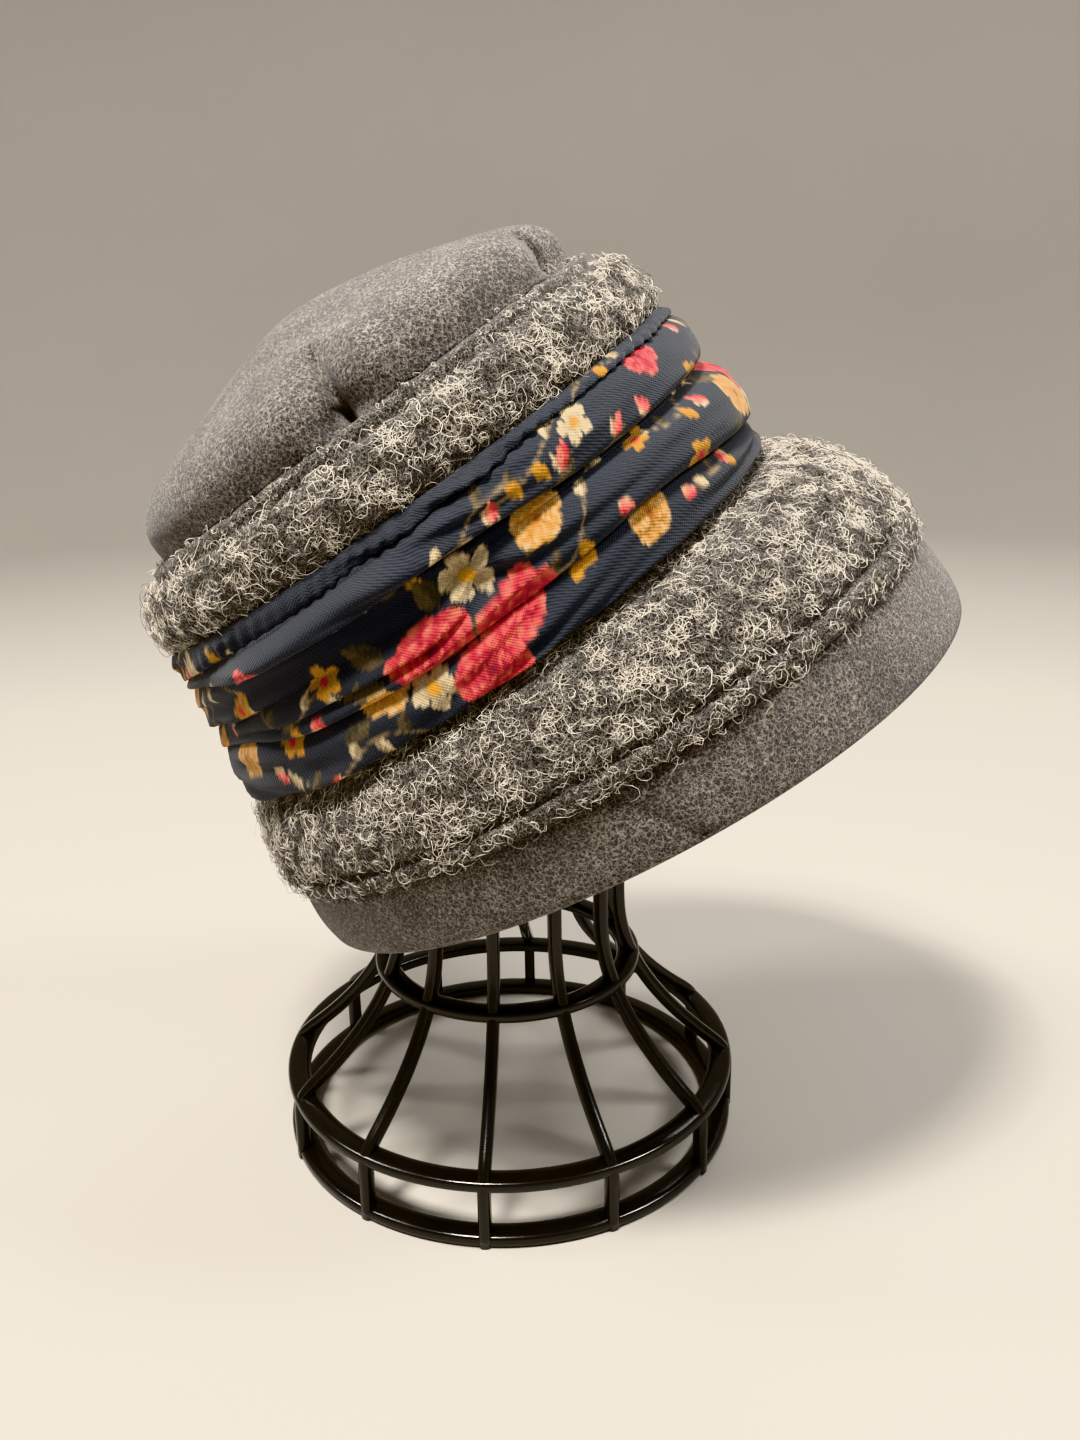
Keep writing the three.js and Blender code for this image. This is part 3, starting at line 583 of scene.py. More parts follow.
def curl_tubes(roots, out, down, round_way, thickness, fibres, random):
    """Thin three-sided tubes along curly paths that lie on the cloth: the heading turns
    steadily with a waver, and the height above the cloth is half a sine wave, or for
    a few loose ends a rising line. The tone is a random share times painted shade that darkens a tube towards
    its ends, where it goes into the cloth."""
    steps, corners, loose_share, loose_rise = 6, 3, 0.07, 1.5
    painted_end_shade, tip_cut, tone_power = 0.35, 0.04, 0.7
    count = len(roots)
    share = np.linspace(0, 1, steps + 1)
    draw = lambda low, high: random.uniform(low, high, (count, 1))
    turns = draw(0.35, 1.25) * random.choice([-1, 1], (count, 1))
    heading = FULL_TURN * (draw(0, 1) + turns * share)
    heading = heading + draw(0.2, 0.9) * np.sin(FULL_TURN * (draw(1, 2) * share + draw(0, 1)))
    length = fibres.curl_length * draw(0.55, 1.2) * lerp(0.3, 1, thickness)
    stride = length / steps
    east = np.cumsum(np.cos(heading), axis=1) * stride
    south = np.cumsum(np.sin(heading), axis=1) * stride
    loose_end = draw(0, 1) < loose_share
    rise = fibres.curl_rise * draw(0.15, 1)
    height = np.where(loose_end, loose_rise * rise * share, rise * np.sin(np.pi * share))
    path = (roots[:, None] + east[..., None] * round_way[:, None] + south[..., None] * down[:, None]
            + height[..., None] * out[:, None])
    along = np.gradient(path, axis=1)
    along /= np.linalg.norm(along, axis=-1, keepdims=True)
    aside = np.cross(along, out[:, None])
    aside /= np.linalg.norm(aside, axis=-1, keepdims=True)
    above = np.cross(aside, along)
    turn = FULL_TURN * np.arange(corners) / corners
    radius = fibres.curl_radius * draw(0.7, 1.25)[..., None, None]
    points = path[:, :, None] + radius * (
        np.cos(turn)[:, None] * aside[:, :, None] + np.sin(turn)[:, None] * above[:, :, None])
    first = (np.arange(count) * (steps + 1) * corners)[:, None, None]
    quads = (first + ring_quads(steps + 1, corners)).reshape(-1, 4)
    start = first[:, 0] + np.arange(corners)
    triangles = np.concatenate([start[:, ::-1], start + steps * corners])
    # Painted shade: each tube darkens towards its ends, where it dips into the cloth.
    shade = lerp(painted_end_shade, 1, np.sqrt(np.sin(np.pi * np.clip(share, tip_cut, 1 - tip_cut))))
    tone = np.repeat(random.random((count, 1)) ** tone_power * shade, corners)
    return points, quads, triangles, tone


def add_curls(context, name, grid, thickness, count, seed):
    """Boucle fibres over a grid of points, as one piece."""
    random = np.random.default_rng(seed)
    fibres = context.scene.cloche_cloth
    points, quads, triangles, tone = curl_tubes(*scatter(grid, thickness, count, random), fibres, random)
    piece = make_piece(name, points, quads, triangles, fibre_material(context), "boucle")
    # The tone holds each fibre's random share and its painted end shade.
    paint_values(piece, "tone", tone)


class CLOCHE_OT_crown_side(bpy.types.Operator):
    """Boucle side wall with a stitched ridge under the tip and curly fibres"""
    bl_idname = "cloche.crown_side"
    bl_label = "Boucle side"

    def execute(self, context):
        sizes, fibres = context.scene.cloche_hat, context.scene.cloche_cloth
        form = HatForm(sizes)
        angle = around(320)
        top = sizes.brim_drop + sizes.side_height
        band_top = sizes.brim_drop + sizes.band_height
        shown = np.linspace(top, band_top - 0.004, 40)[:, None]
        covered = np.linspace(band_top - 0.006, sizes.brim_drop, 8)[:, None]
        groove_share, groove_width, ridge_height, lump_seed = 0.75, 0.0012, 0.0012, 11
        swell_width, tucked_in, open_width = 0.006, 0.002, 0.003

        def outer(height):
            station = form.station_at(height, form.crown_seam, form.head_seam)
            past_ridge = top - height - sizes.ridge_width
            above_band = height - band_top
            swell = smooth(past_ridge / swell_width) * smooth((above_band + tucked_in) / swell_width)
            ridge = ridge_height * np.sin(np.pi * np.clip(past_ridge / sizes.ridge_width + 1, 0, 1))
            groove = groove_share * sizes.welt_depth * bell(past_ridge / groove_width)
            rough = lumps(form.loose(station, angle, 0), fibres, lump_seed) * smooth(above_band / open_width)
            return form.cloth(station, angle, sizes.side_proud * swell + ridge - groove + rough)

        grid = outer(shown)
        hidden = outer(covered)
        inner_station = np.linspace(form.head_seam, form.crown_seam, 10)[:, None]
        inner = form.cloth(inner_station, angle, -sizes.boucle_wall)
        rings = np.concatenate([grid, hidden, inner])
        side = make_wall("boucle_side", rings, boucle_material(context), "boucle")
        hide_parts("crown_side")
        thin_width, thin_share, ridge_share = 0.0024, 0.95, 0.4
        past_groove = (top - shown - sizes.ridge_width) / thin_width
        thickness = lerp(ridge_share, 1, smooth(past_groove)) * (1 - thin_share * bell(past_groove))
        add_curls(context, "boucle_side_curls", grid[1:-4], thickness[1:-4], fibres.side_curls, 21)
        return {"FINISHED"}


def band_table(angle):
    """Columns of the band's table at angles round the hat, eased from row to row."""
    degrees = turn_between(np.degrees(angle), 0)
    index = np.searchsorted(BAND_ROWS["angle"], degrees, side="right") - 1
    start, end = BAND_ROWS[index], BAND_ROWS[(index + 1) % len(BAND_ROWS)]
    part = smooth((degrees - start["angle"]) / ((end["angle"] - start["angle"]) % 360))
    return {name: lerp(start[name], end[name], part) for name in BAND_ROWS.dtype.names}


def fold_profile(part):
    """Share of a fold's height from one crease to the next: a squarish arch, the root
    of 1 - (2p - 1)^4."""
    return np.sqrt(np.maximum(1 - (2 * part - 1) ** 4, 0))


def band_walls(form, fibres, angle):
    """Outer and inner rings of the band from its top edge down. Each fold arches over
    the stretch between its creases, leans over the crease below and carries fine
    wrinkles. The roll at the top is ruched in small slanting waves, the middle fold is
    split in two near the gather, pleats run out from the gathers as sine waves, and
    bell curves pinch the folds down."""
    sizes = form.sizes
    table = band_table(angle)
    creases = [
        1 + 0 * angle, *(table[fold + "_crease"] for fold in ("roll", "upper", "pocket", "lower")), 0 * angle]
    lean, inner_share, inner_skip = 0.6, 0.6, 3
    split_angle, split_reach, split_place, split_width, split_depth = -108, 32, 0.52, 0.09, 0.65
    ruche_share, ruche_waves, ruche_slant = 0.17, 112, 2.4
    uneven_share, uneven_waves, fade_mean, fade_share, fade_waves = 2.2, 7, 0.65, 0.35, 11
    wrinkle_cell, finer, fine_share, wrinkle_seed = np.array([0.034, 0.034, 0.0042]), 2.4, 0.5, 31
    seat = sizes.band_ease + sizes.band_cloth
    outer, inner = [], []
    for index, (fold, rows) in enumerate(FOLDS):
        steps = np.arange(rows + (index == len(FOLDS) - 1))[:, None] / rows
        part = (1 - np.cos(np.pi * steps)) / 2
        share = lerp(creases[index], creases[index + 1], part)
        height = sizes.brim_drop + sizes.band_height * share
        station = form.station_at(height, form.crown_seam, form.head_seam)
        arch = fold_profile(part)
        if fold == "roll":
            drift = uneven_share * np.sin(uneven_waves * angle)
            fade = fade_mean + fade_share * np.cos(fade_waves * angle)
            arch = arch * (1 + ruche_share * fade * np.sin(ruche_waves * angle + ruche_slant * part + drift))
        if fold == "middle":
            gathered = bell(turn_between(np.degrees(angle), split_angle) / split_reach)
            arch = arch * (1 - split_depth * gathered * bell((part - split_place) / split_width))
        flat = form.loose(station, angle, 0)
        fine = noise(flat, wrinkle_cell / finer, wrinkle_seed + 1)
        wrinkle = fibres.wrinkle_height * (noise(flat, wrinkle_cell, wrinkle_seed) + fine_share * fine)
        for gather in GATHERS:
            away = turn_between(np.degrees(angle), gather["angle"]) / gather["reach"]
            waves = np.sin(FULL_TURN * (gather["pleats"] * share + gather["slant"] * away * (share - 0.5)))
            wrinkle = wrinkle + fibres.pleat_height * bell(away) * waves
        rise = sizes.fold_height * table[fold] * arch + wrinkle * np.minimum(arch, 1)
        for pinch in PINCHES:
            away = turn_between(np.degrees(angle), pinch["angle"]) / pinch["width"]
            rise = rise * (1 - pinch["depth"] * bell(away) * bell((share - pinch["share"]) / pinch["height"]))
        held = np.maximum(rise, 0)
        outer.append(form.cloth(station, angle, seat + held, lean * rise))
        under = (sizes.band_ease + inner_share * held)[::inner_skip]
        inner.append(form.cloth(station[::inner_skip], angle, under))
    return np.concatenate(outer), np.concatenate(inner)


def blend(first, second, share):
    """Colours at shares of the way from one colour to another."""
    first = np.asarray(first)
    return first + share[..., None] * (np.asarray(second) - first)


class FlatPrint:
    """Colours of the printed cotton at points of the cloth laid flat. The print repeats
    a whole number of times round the band."""

    def __init__(self, across, up, repeats, ground):
        self.across, self.up = across, up
        self.repeat = (across.max() - across.min()) / repeats
        self.colours = np.broadcast_to(ground, across.shape + (3,)).copy()

    def local(self, across, up, turn):
        """Distances from a motif's middle along its own two ways."""
        east = (self.across - across + self.repeat / 2) % self.repeat - self.repeat / 2
        north = self.up - up
        return (east * math.cos(turn) + north * math.sin(turn),
                north * math.cos(turn) - east * math.sin(turn))

    def paint(self, mask, tint):
        """Lay a colour over the cloth where the mask is 1."""
        self.colours = blend(self.colours, tint, mask)

    def leaf(self, across, up, turn, length, width, dark, light):
        """Pointed leaf: its half width follows a sine from its stalk to its tip, with one
        half lighter and a pale vein."""
        edge, blunt, light_half = 0.35, 0.8, 0.55
        vein_width, vein_slant, vein_pitch, side_veins, middle_vein = 0.3, 0.9, 1.7, 0.3, 0.8
        x, y = self.local(across, up, turn)
        part = np.clip(x / length, 0, 1)
        half = 0.5 * width * np.sin(np.pi * part ** blunt)
        mask = smooth((half - np.abs(y)) / edge + 0.5) * (x > 0) * (x < length)
        veins = 0.5 + 0.5 * np.sin(FULL_TURN * (x - vein_slant * np.abs(y)) / vein_pitch)
        shade = smooth(0.5 + y / edge) * light_half + side_veins * veins * (np.abs(y) > vein_width)
        self.paint(mask, blend(dark, light, shade))
        self.paint(mask * smooth(1 - np.abs(y) / vein_width) * middle_vein, light)

    def rose(self, across, up, radius, turn, heart, petal, rim):
        """Rings of scalloped petals, each ring dark at its root, with streaks of the pale
        colour towards its edge and shade where two petals meet."""
        edge, notch, roundness, root_power, glow_from, shaded = 0.45, 0.84, 0.6, 1.6, 0.66, 0.62
        x, y = self.local(across, up, turn)
        reach, angle = np.hypot(x, y), np.arctan2(y, x)
        for ring in ROSE_RINGS:
            lobe = np.abs(np.cos(ring["petals"] / 2 * (angle - ring["phase"])))
            outline = radius * ring["share"] * lerp(notch, 1, lobe ** roundness)
            mask = smooth((outline - reach) / edge + 0.5)
            depth = np.clip(reach / outline, 0, 1)
            streak = 0.5 + 0.5 * np.sin(11 * angle + 9 * ring["share"] + 4 * depth)
            tone = blend(heart, petal, depth ** root_power)
            glow = smooth((depth - glow_from) / (1 - glow_from)) * (0.15 + 0.5 * streak) * smooth(lobe * 1.6)
            tone = blend(tone, rim, glow)
            self.paint(mask, tone * lerp(shaded, 1, smooth(lobe * 3))[..., None])

    def blossom(self, across, up, radius, turn, petal, shade, heart):
        """Five round petals round a small heart."""
        edge, notch, roundness, heart_share = 0.4, 0.42, 0.55, 0.28
        x, y = self.local(across, up, turn)
        reach, angle = np.hypot(x, y), np.arctan2(y, x)
        lobe = np.abs(np.cos(2.5 * angle))
        outline = radius * lerp(notch, 1, lobe ** roundness)
        streak = 0.5 + 0.5 * np.sin(15 * angle)
        tone = blend(shade, petal, np.clip(reach / outline, 0, 1) * (0.6 + 0.4 * streak))
        self.paint(smooth((outline - reach) / edge + 0.5), tone)
        self.paint(smooth((heart_share * radius - reach) / edge + 0.5), heart)

    def vine(self, across, up, wave, height, run, tint, leaf_tints):
        """Thin stem along a sine wave, with leaves on alternate sides."""
        thickness, leaf_pitch, leaf_length, leaf_width = 0.75, 8.5, 7.0, 3.6
        x, y = self.local(across, up, 0)
        path = lambda run_at: wave * np.sin(FULL_TURN * run_at / run) + height * run_at / run
        slope = wave * FULL_TURN / run * np.cos(FULL_TURN * x / run) + height / run
        gap = np.abs(y - path(x)) / np.hypot(1, slope)
        self.paint(smooth((thickness - gap) / thickness) * (np.abs(x) < run / 2), tint)
        for index, at in enumerate(np.arange(-run / 2, run / 2, leaf_pitch)):
            side = 1 if index % 2 else -1
            self.leaf(across + at, up + path(at), side * 1.0 + 0.25 * math.sin(3.0 * index),
                      leaf_length, leaf_width, *leaf_tints[index % len(leaf_tints)])


def print_colours(finishes, across, up):
    """Print of roses, buds, blossoms, leaves and vines over the flat cloth, in
    millimetres, laid from the back of the pattern to its front."""
    cloth = FlatPrint(across, up, PRINT_REPEATS, tuple(finishes.navy))
    cream, fawn, olive = tuple(finishes.cream), tuple(finishes.fawn), tuple(finishes.olive)
    mustard, crimson, peach = tuple(finishes.mustard), tuple(finishes.crimson), tuple(finishes.peach)
    pale_leaf, gold_leaf = (fawn, cream), (dim(mustard, 0.6), mustard)
    dark_leaf = (dim(olive, 0.7), dim(fawn, 0.6))
    red, gold = (tuple(finishes.wine), crimson, peach), (tuple(finishes.rust), mustard, cream)
    for vine in VINES:
        cloth.vine(*vine, fawn, (pale_leaf, dark_leaf, gold_leaf, pale_leaf))
    for east, north, length, width, turn in DARK_LEAVES:
        cloth.leaf(east, north, turn, length, width, *dark_leaf)
    for east, north, length, turn in BUDS:
        cloth.leaf(east, north, turn + 0.7, 0.8 * length, 0.4 * length, *pale_leaf)
        cloth.leaf(east, north, turn - 0.7, 0.7 * length, 0.35 * length, *dark_leaf)
        cloth.leaf(east, north, turn, length, 0.6 * length, crimson, peach)
    for east, north, radius, turn, tint in BLOSSOMS:
        tints = (mustard, dim(mustard, 0.5), crimson) if tint else (cream, fawn, mustard)
        cloth.blossom(east, north, radius, turn, *tints)
    for east, north, radius, turn, tint in ROSES:
        cloth.rose(east, north, radius, turn, *(gold if tint else red))
    return cloth.colours


class CLOCHE_OT_floral_band(bpy.types.Operator):
    """Ruched cotton band with a print of roses, buds and leaves"""
    bl_idname = "cloche.floral_band"
    bl_label = "Floral band"

    def execute(self, context):
        sizes, fibres = context.scene.cloche_hat, context.scene.cloche_cloth
        form = HatForm(sizes)
        angle = around(760)
        outer, inner = band_walls(form, fibres, angle)
        rings = np.concatenate([outer, inner[::-1]])
        band = make_wall("ruched_band", rings, floral_material(context), "floral_cloth")
        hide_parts("floral_band")
        steps = np.linalg.norm(np.diff(outer, axis=0), axis=-1)
        fallen = np.concatenate([0 * steps[:1], np.cumsum(steps, axis=0)])
        slide, slide_waves, mean_radius = 9, 3, 92
        up = (fallen[-1] - fallen) / MILLIMETRE + slide * np.sin(slide_waves * angle)
        across = np.broadcast_to(angle * mean_radius, up.shape)
        colours = print_colours(context.scene.cloche_finishes, across, up)
        back = np.broadcast_to(tuple(context.scene.cloche_finishes.navy), inner.shape)
        tinted = np.concatenate([colours, back])
        opaque = np.ones(tinted.shape[:2] + (1,))
        paint_values(band, "print", np.concatenate([tinted, opaque], axis=-1), "FLOAT_COLOR")
        flat = np.stack([across, up], -1)
        flat = np.concatenate([flat, flat[:len(inner)]])
        layer = band.data.uv_layers.new(name="cloth")
        corners = np.empty(len(band.data.loops), np.int32)
        band.data.loops.foreach_get("vertex_index", corners)
        layer.data.foreach_set("uv", flat.reshape(-1, 2)[corners].astype(np.float32).ravel())
        return {"FINISHED"}


class CLOCHE_OT_brim(bpy.types.Operator):
    """Boucle brim with a stitched welt above its lower edge and curly fibres"""
    bl_idname = "cloche.brim"
    bl_label = "Boucle brim"

    def execute(self, context):
        sizes, fibres = context.scene.cloche_hat, context.scene.cloche_cloth
        form = HatForm(sizes)
        angle = around(320)
        hem_seam = form.station_at(sizes.hem_height, form.head_seam, form.rim)
        outer_height = np.linspace(sizes.brim_drop, sizes.hem_height, 60)[:, None]
        welt = sizes.hem_height + sizes.welt_setback
        groove_width, edge_roll, join_width, join_depth, lump_seed = 0.0013, 0.004, 0.0012, 0.0016, 12
        swell_share, edge_proud, full_proud = 0.45, 0.6, 1.1
        station = form.station_at(outer_height, form.head_seam, form.rim)
        swell = smooth((sizes.brim_drop - outer_height) / (swell_share * (sizes.brim_drop - welt)))
        edge = np.sqrt(np.clip((outer_height - sizes.hem_height) / edge_roll, 0, 1))
        groove = sizes.welt_depth * bell((outer_height - welt) / groove_width)
        join = join_depth * seam_groove(form, BRIM_JOIN, angle, outer_height, join_width)
        rough = lumps(form.loose(station, angle, 0), fibres, lump_seed)
        lift = sizes.boucle_proud * swell * lerp(edge_proud, full_proud, edge) - groove - join + rough
        grid = form.cloth(station, angle, lift)
        inner_station = np.linspace(hem_seam, form.head_seam, 16)[:, None]
        inner = form.cloth(inner_station, angle, -sizes.boucle_wall)
        rings = np.concatenate([grid, inner])
        brim = make_wall("boucle_brim", rings, boucle_material(context), "boucle")
        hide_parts("brim")
        thin_width, thin_share, edge_width, edge_share = 0.0022, 0.95, 0.0035, 0.7
        thickness = lerp(edge_share, 1, smooth((outer_height - sizes.hem_height) / edge_width)) * (
            1 - thin_share * bell((outer_height - welt) / thin_width))
        add_curls(context, "boucle_brim_curls_a", grid[2:], thickness[2:], fibres.brim_curls, 22)
        add_curls(context, "boucle_brim_curls_b", grid[2:], thickness[2:], fibres.brim_curls, 23)
        return {"FINISHED"}


class CLOCHE_OT_brim_hem(bpy.types.Operator):
    """Melton hem, turned under in a round edge, with a slanting join"""
    bl_idname = "cloche.brim_hem"
    bl_label = "Melton hem"

    def execute(self, context):
        sizes = context.scene.cloche_hat
        form = HatForm(sizes)
        angle = around(320)
        half = sizes.hem_wall / 2
        height = np.linspace(sizes.hem_height, 0, 34)[:, None]
        station = form.station_at(height, form.head_seam, form.rim)
        fullness, swell_power, join_width, join_depth = 0.4, 0.7, 0.0011, 0.0017
        billow, billow_cell, billow_seed = 0.0004, np.array([0.03, 0.03, 0.012]), 5
        edge_setback, tuck_start, tuck_depth = 0.4 * half, 0.86, 0.0016
        share = height / sizes.hem_height
        swell = fullness * half * np.sin(np.pi * share ** swell_power)
        join = join_depth * seam_groove(form, HEM_JOIN, angle, height, join_width)
        rough = billow * noise(form.loose(station, angle, 0), billow_cell, billow_seed)
        tucked = tuck_depth * smooth((share - tuck_start) / (1 - tuck_start))
        outer = form.cloth(station, angle, swell - join + rough - tucked, -edge_setback * (1 - share))
        bend = np.linspace(0, np.pi, 13)[1:-1, None] + 0 * angle
        edge = form.cloth(form.rim, angle, -half + half * np.cos(bend), half * np.sin(bend) - edge_setback)
        inner_station = np.linspace(form.rim, station[0, 0], 12)[:, None]
        inner_along = np.where(inner_station == form.rim, -edge_setback, 0.0)
        inner = form.cloth(inner_station, angle, -sizes.hem_wall, inner_along)
        rings = np.concatenate([outer, edge, inner])
        hem = make_wall("melton_hem", rings, melton_material(context), "melton")
        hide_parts("brim_hem")
        return {"FINISHED"}


def turned(reach, level, angle):
    """Rings round the vertical axis, from their distances to it and their heights."""
    return np.stack([reach * np.cos(angle), reach * np.sin(angle), level + 0 * angle], axis=-1)


def rounded_section(count, roundness):
    """Rounded square from -1 to 1: powers of the cosine and the sine of a turning angle."""
    turn = FULL_TURN * (np.arange(count) + 0.5) / count
    power = lambda value: np.sign(value) * np.abs(value) ** roundness
    return power(np.cos(turn)), power(np.sin(turn))


def rib_path(stand):
    """Outer edge of a rib as distance and height: a post, a sweep in to the neck that
    follows a power of the height, a bend out and an arc round the globe, evened out
    and smoothed along its length."""
    foot, rounding, pitch = 0.0005, 0.0015, 0.003
    outside = stand.base_radius + stand.rib_proud
    shoulder = stand.shoulder_height + stand.ring_height
    post = np.stack([np.full(12, outside), np.linspace(foot, shoulder, 12)], -1)
    share = np.linspace(1, 0, 40)[1:]
    sweep = np.stack([
        stand.neck_radius + (outside - rounding - stand.neck_radius) * share ** SWEEP_POWER,
        lerp(stand.neck_top, shoulder + rounding, share)], -1)
    reach = stand.globe_radius + stand.neck_bend
    bend_angle = math.acos((stand.neck_radius + stand.neck_bend) / reach)
    bend_height = stand.globe_height - reach * math.sin(bend_angle)
    turn = np.linspace(0, bend_angle, 12)[:-1]
    bend = np.stack([
        stand.neck_radius + stand.neck_bend * (1 - np.cos(turn)),
        bend_height + stand.neck_bend * np.sin(turn)], -1)
    arc_angle = np.linspace(-bend_angle, math.acos(stand.cap_radius / stand.globe_radius), 60)
    arc = np.stack([
        stand.globe_radius * np.cos(arc_angle),
        stand.globe_height + stand.globe_radius * np.sin(arc_angle)], -1)
    path = np.concatenate([post, sweep, bend, arc])
    length = np.concatenate([[0], np.cumsum(np.linalg.norm(np.diff(path, axis=0), axis=1))])
    even = np.linspace(0, length[-1], int(length[-1] / pitch))
    path = np.stack([np.interp(even, length, path[:, column]) for column in (0, 1)], -1)
    for _ in range(3):
        path[1:-1] = 0.5 * path[1:-1] + 0.25 * (path[:-2] + path[2:])
    return path


def stand_axis():
    """Middle of the base ring, on the floor."""
    low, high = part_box("base_ring")
    return np.array([(low.x + high.x) / 2, (low.y + high.y) / 2, 0])


class CLOCHE_OT_stand_ribs(bpy.types.Operator):
    """Moulded ribs of the stand, from the floor round the globe"""
    bl_idname = "cloche.stand_ribs"
    bl_label = "Stand ribs"

    def execute(self, context):
        stand = context.scene.cloche_stand
        path = rib_path(stand)
        along = np.gradient(path, axis=0)
        along /= np.linalg.norm(along, axis=1, keepdims=True)
        inward = np.stack([-along[:, 1], along[:, 0]], -1)
        inward[-1] = (np.array([0, stand.globe_height]) - path[-1]) / stand.globe_radius
        depth, side = rounded_section(12, 0.6)
        depth_share = (1 - depth) / 2
        outer_width, inner_width = 0.4, 0.5
        half = stand.rib_width * lerp(outer_width, inner_width, depth_share)
        place = path[:, None] + inward[:, None] * (stand.rib_depth * depth_share)[:, None]
        rib = np.stack([place[..., 0], np.broadcast_to(side * half, place.shape[:2]), place[..., 1]], -1)
        rows, sides = rib.shape[:2]
        ends = np.stack([rib[0].mean(0), rib[-1].mean(0)])
        rib = np.concatenate([rib.reshape(-1, 3), ends])
        quads, triangles = ring_quads(rows, sides), end_fans(rows, sides)
        turn = stand.rib_turn + FULL_TURN * np.arange(len(RIBS)) / len(RIBS)
        cos, sin = np.cos(turn)[:, None], np.sin(turn)[:, None]
        points = np.stack([
            rib[:, 0] * cos - rib[:, 1] * sin, rib[:, 0] * sin + rib[:, 1] * cos,
            np.broadcast_to(rib[:, 2], (len(RIBS), len(rib)))], -1) + stand_axis()
        first = (np.arange(len(RIBS)) * len(rib))[:, None, None]
        piece = make_piece(
            "stand_ribs", points, (first + quads).reshape(-1, 4), (first + triangles).reshape(-1, 3),
            moulding_material(context), "black_plastic")
        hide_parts(*RIBS)
        return {"FINISHED"}


class CLOCHE_OT_stand_rings(bpy.types.Operator):
    """Level rings of the stand and the cap that closes its globe"""
    bl_idname = "cloche.stand_rings"
    bl_label = "Stand rings"

    def execute(self, context):
        stand = context.scene.cloche_stand
        fall = (stand.neck_top - stand.neck_ring_height) / (stand.neck_top - stand.shoulder_height)
        neck_ring_radius = stand.neck_radius + (stand.base_radius - stand.neck_radius) * fall ** SWEEP_POWER
        angle = around(160)
        across, rise = rounded_section(20, 0.6)
        places = {
            "base_ring": (stand.base_radius, 0),
            "shoulder_ring": (stand.base_radius, stand.shoulder_height),
            "neck_ring": (neck_ring_radius, stand.neck_ring_height),
        }
        for name, (radius, height) in places.items():
            reach = radius - stand.ring_depth / 2 + across[:, None] * stand.ring_depth / 2
            level = height + stand.ring_height / 2 * (1 + rise[:, None])
            rings = turned(reach, level, angle) + stand_axis()
            piece = make_wall("moulded_" + name, rings, moulding_material(context), "black_plastic")
            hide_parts(name)
        edge = math.acos(stand.cap_radius / stand.globe_radius)
        over = lerp(math.pi / 2, edge, np.linspace(0, 1, 9)[1:, None])
        radii = (stand.globe_radius, stand.globe_radius - stand.ring_depth)
        outer, inner = (
            turned(radius * np.cos(over), stand.globe_height + radius * np.sin(over), angle)
            for radius in radii)
        rings = np.concatenate([outer, inner[::-1]])
        poles = [[0, 0, stand.globe_height + radius] for radius in radii]
        grid = rings.shape[:2]
        cap = make_piece(
            "moulded_cap", np.concatenate([rings.reshape(-1, 3), poles]) + stand_axis(),
            ring_quads(*grid), end_fans(*grid), moulding_material(context), "black_plastic")
        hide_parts("globe_cap")
        return {"FINISHED"}


def add_node(tree, kind, values=None, **settings):
    """Node with its settings, and its inputs set to values or linked to sockets."""
    node = tree.nodes.new(kind)
    for key, value in settings.items():
        setattr(node, key, value)
    for key, value in (values or {}).items():
        if isinstance(value, bpy.types.NodeSocket):
            tree.links.new(value, node.inputs[key])
        else:
            node.inputs[key].default_value = value
    return node


def new_material(name, **values):
    """Material with a principled shader, whose numbers that are the same all over are
    set on its sockets."""
    material = bpy.data.materials.new(name)
    material.use_nodes = True
    shader = material.node_tree.nodes["Principled BSDF"]
    for socket, value in values.items():
        shader.inputs[socket.replace("_", " ").title()].default_value = value
    return material, material.node_tree, shader


def maths(tree, operation, *values):
    """Result of one sum on numbers or sockets."""
    return add_node(tree, "ShaderNodeMath", dict(enumerate(values)), operation=operation).outputs[0]


def mixed(tree, first, first_share, second, second_share):
    """Sum of two values, each times its share."""
    parts = [maths(tree, "MULTIPLY", *pair) for pair in ((first, first_share), (second, second_share))]
    return maths(tree, "ADD", *parts)


def on_piece(tree):
    """Object coordinates, so that a pattern stays with its piece."""
    return add_node(tree, "ShaderNodeTexCoord").outputs["Object"]


def carried(tree, name):
    """Node of the values that the mesh carries under a name."""
    return add_node(tree, "ShaderNodeAttribute", attribute_name=name, attribute_type="GEOMETRY")


def mottle(tree, where, scale, detail, roughness=0.5):
    """Soft noise from 0 to 1."""
    return add_node(tree, "ShaderNodeTexNoise", {
        "Vector": where, "Scale": scale, "Detail": detail, "Roughness": roughness}).outputs["Fac"]


def tint_by(tree, shader, factor, *stops):
    """Base colour that runs between stops of place and colour."""
    node = add_node(tree, "ShaderNodeValToRGB", {"Fac": factor})
    elements = node.color_ramp.elements
    while len(elements) < len(stops):
        elements.new(0.5)
    for element, (place, tint) in zip(elements, stops):
        element.position = place
        element.color = (*tint, 1)
    tree.links.new(node.outputs["Color"], shader.inputs["Base Color"])


def wavy_web(tree, where, scale, waver, thickness):
    """Net of wavy fibres, 1 on a fibre and 0 off it: the edges between random cells,
    in a space that noise pushes about."""
    push = add_node(tree, "ShaderNodeTexNoise", {"Vector": where, "Scale": 0.8 * scale, "Detail": 2.0})
    pushed = add_node(
        tree, "ShaderNodeVectorMath", {0: push.outputs["Color"], 1: (waver / scale,) * 3, 2: where},
        operation="MULTIPLY_ADD")
    cells = add_node(tree, "ShaderNodeTexVoronoi", {
        "Vector": pushed.outputs[0], "Scale": scale}, feature="DISTANCE_TO_EDGE")
    web = add_node(tree, "ShaderNodeMapRange", {
        "Value": cells.outputs["Distance"], "From Min": 0.0, "From Max": thickness,
        "To Min": 1.0, "To Max": 0.0}, interpolation_type="SMOOTHSTEP")
    return web.outputs["Result"]


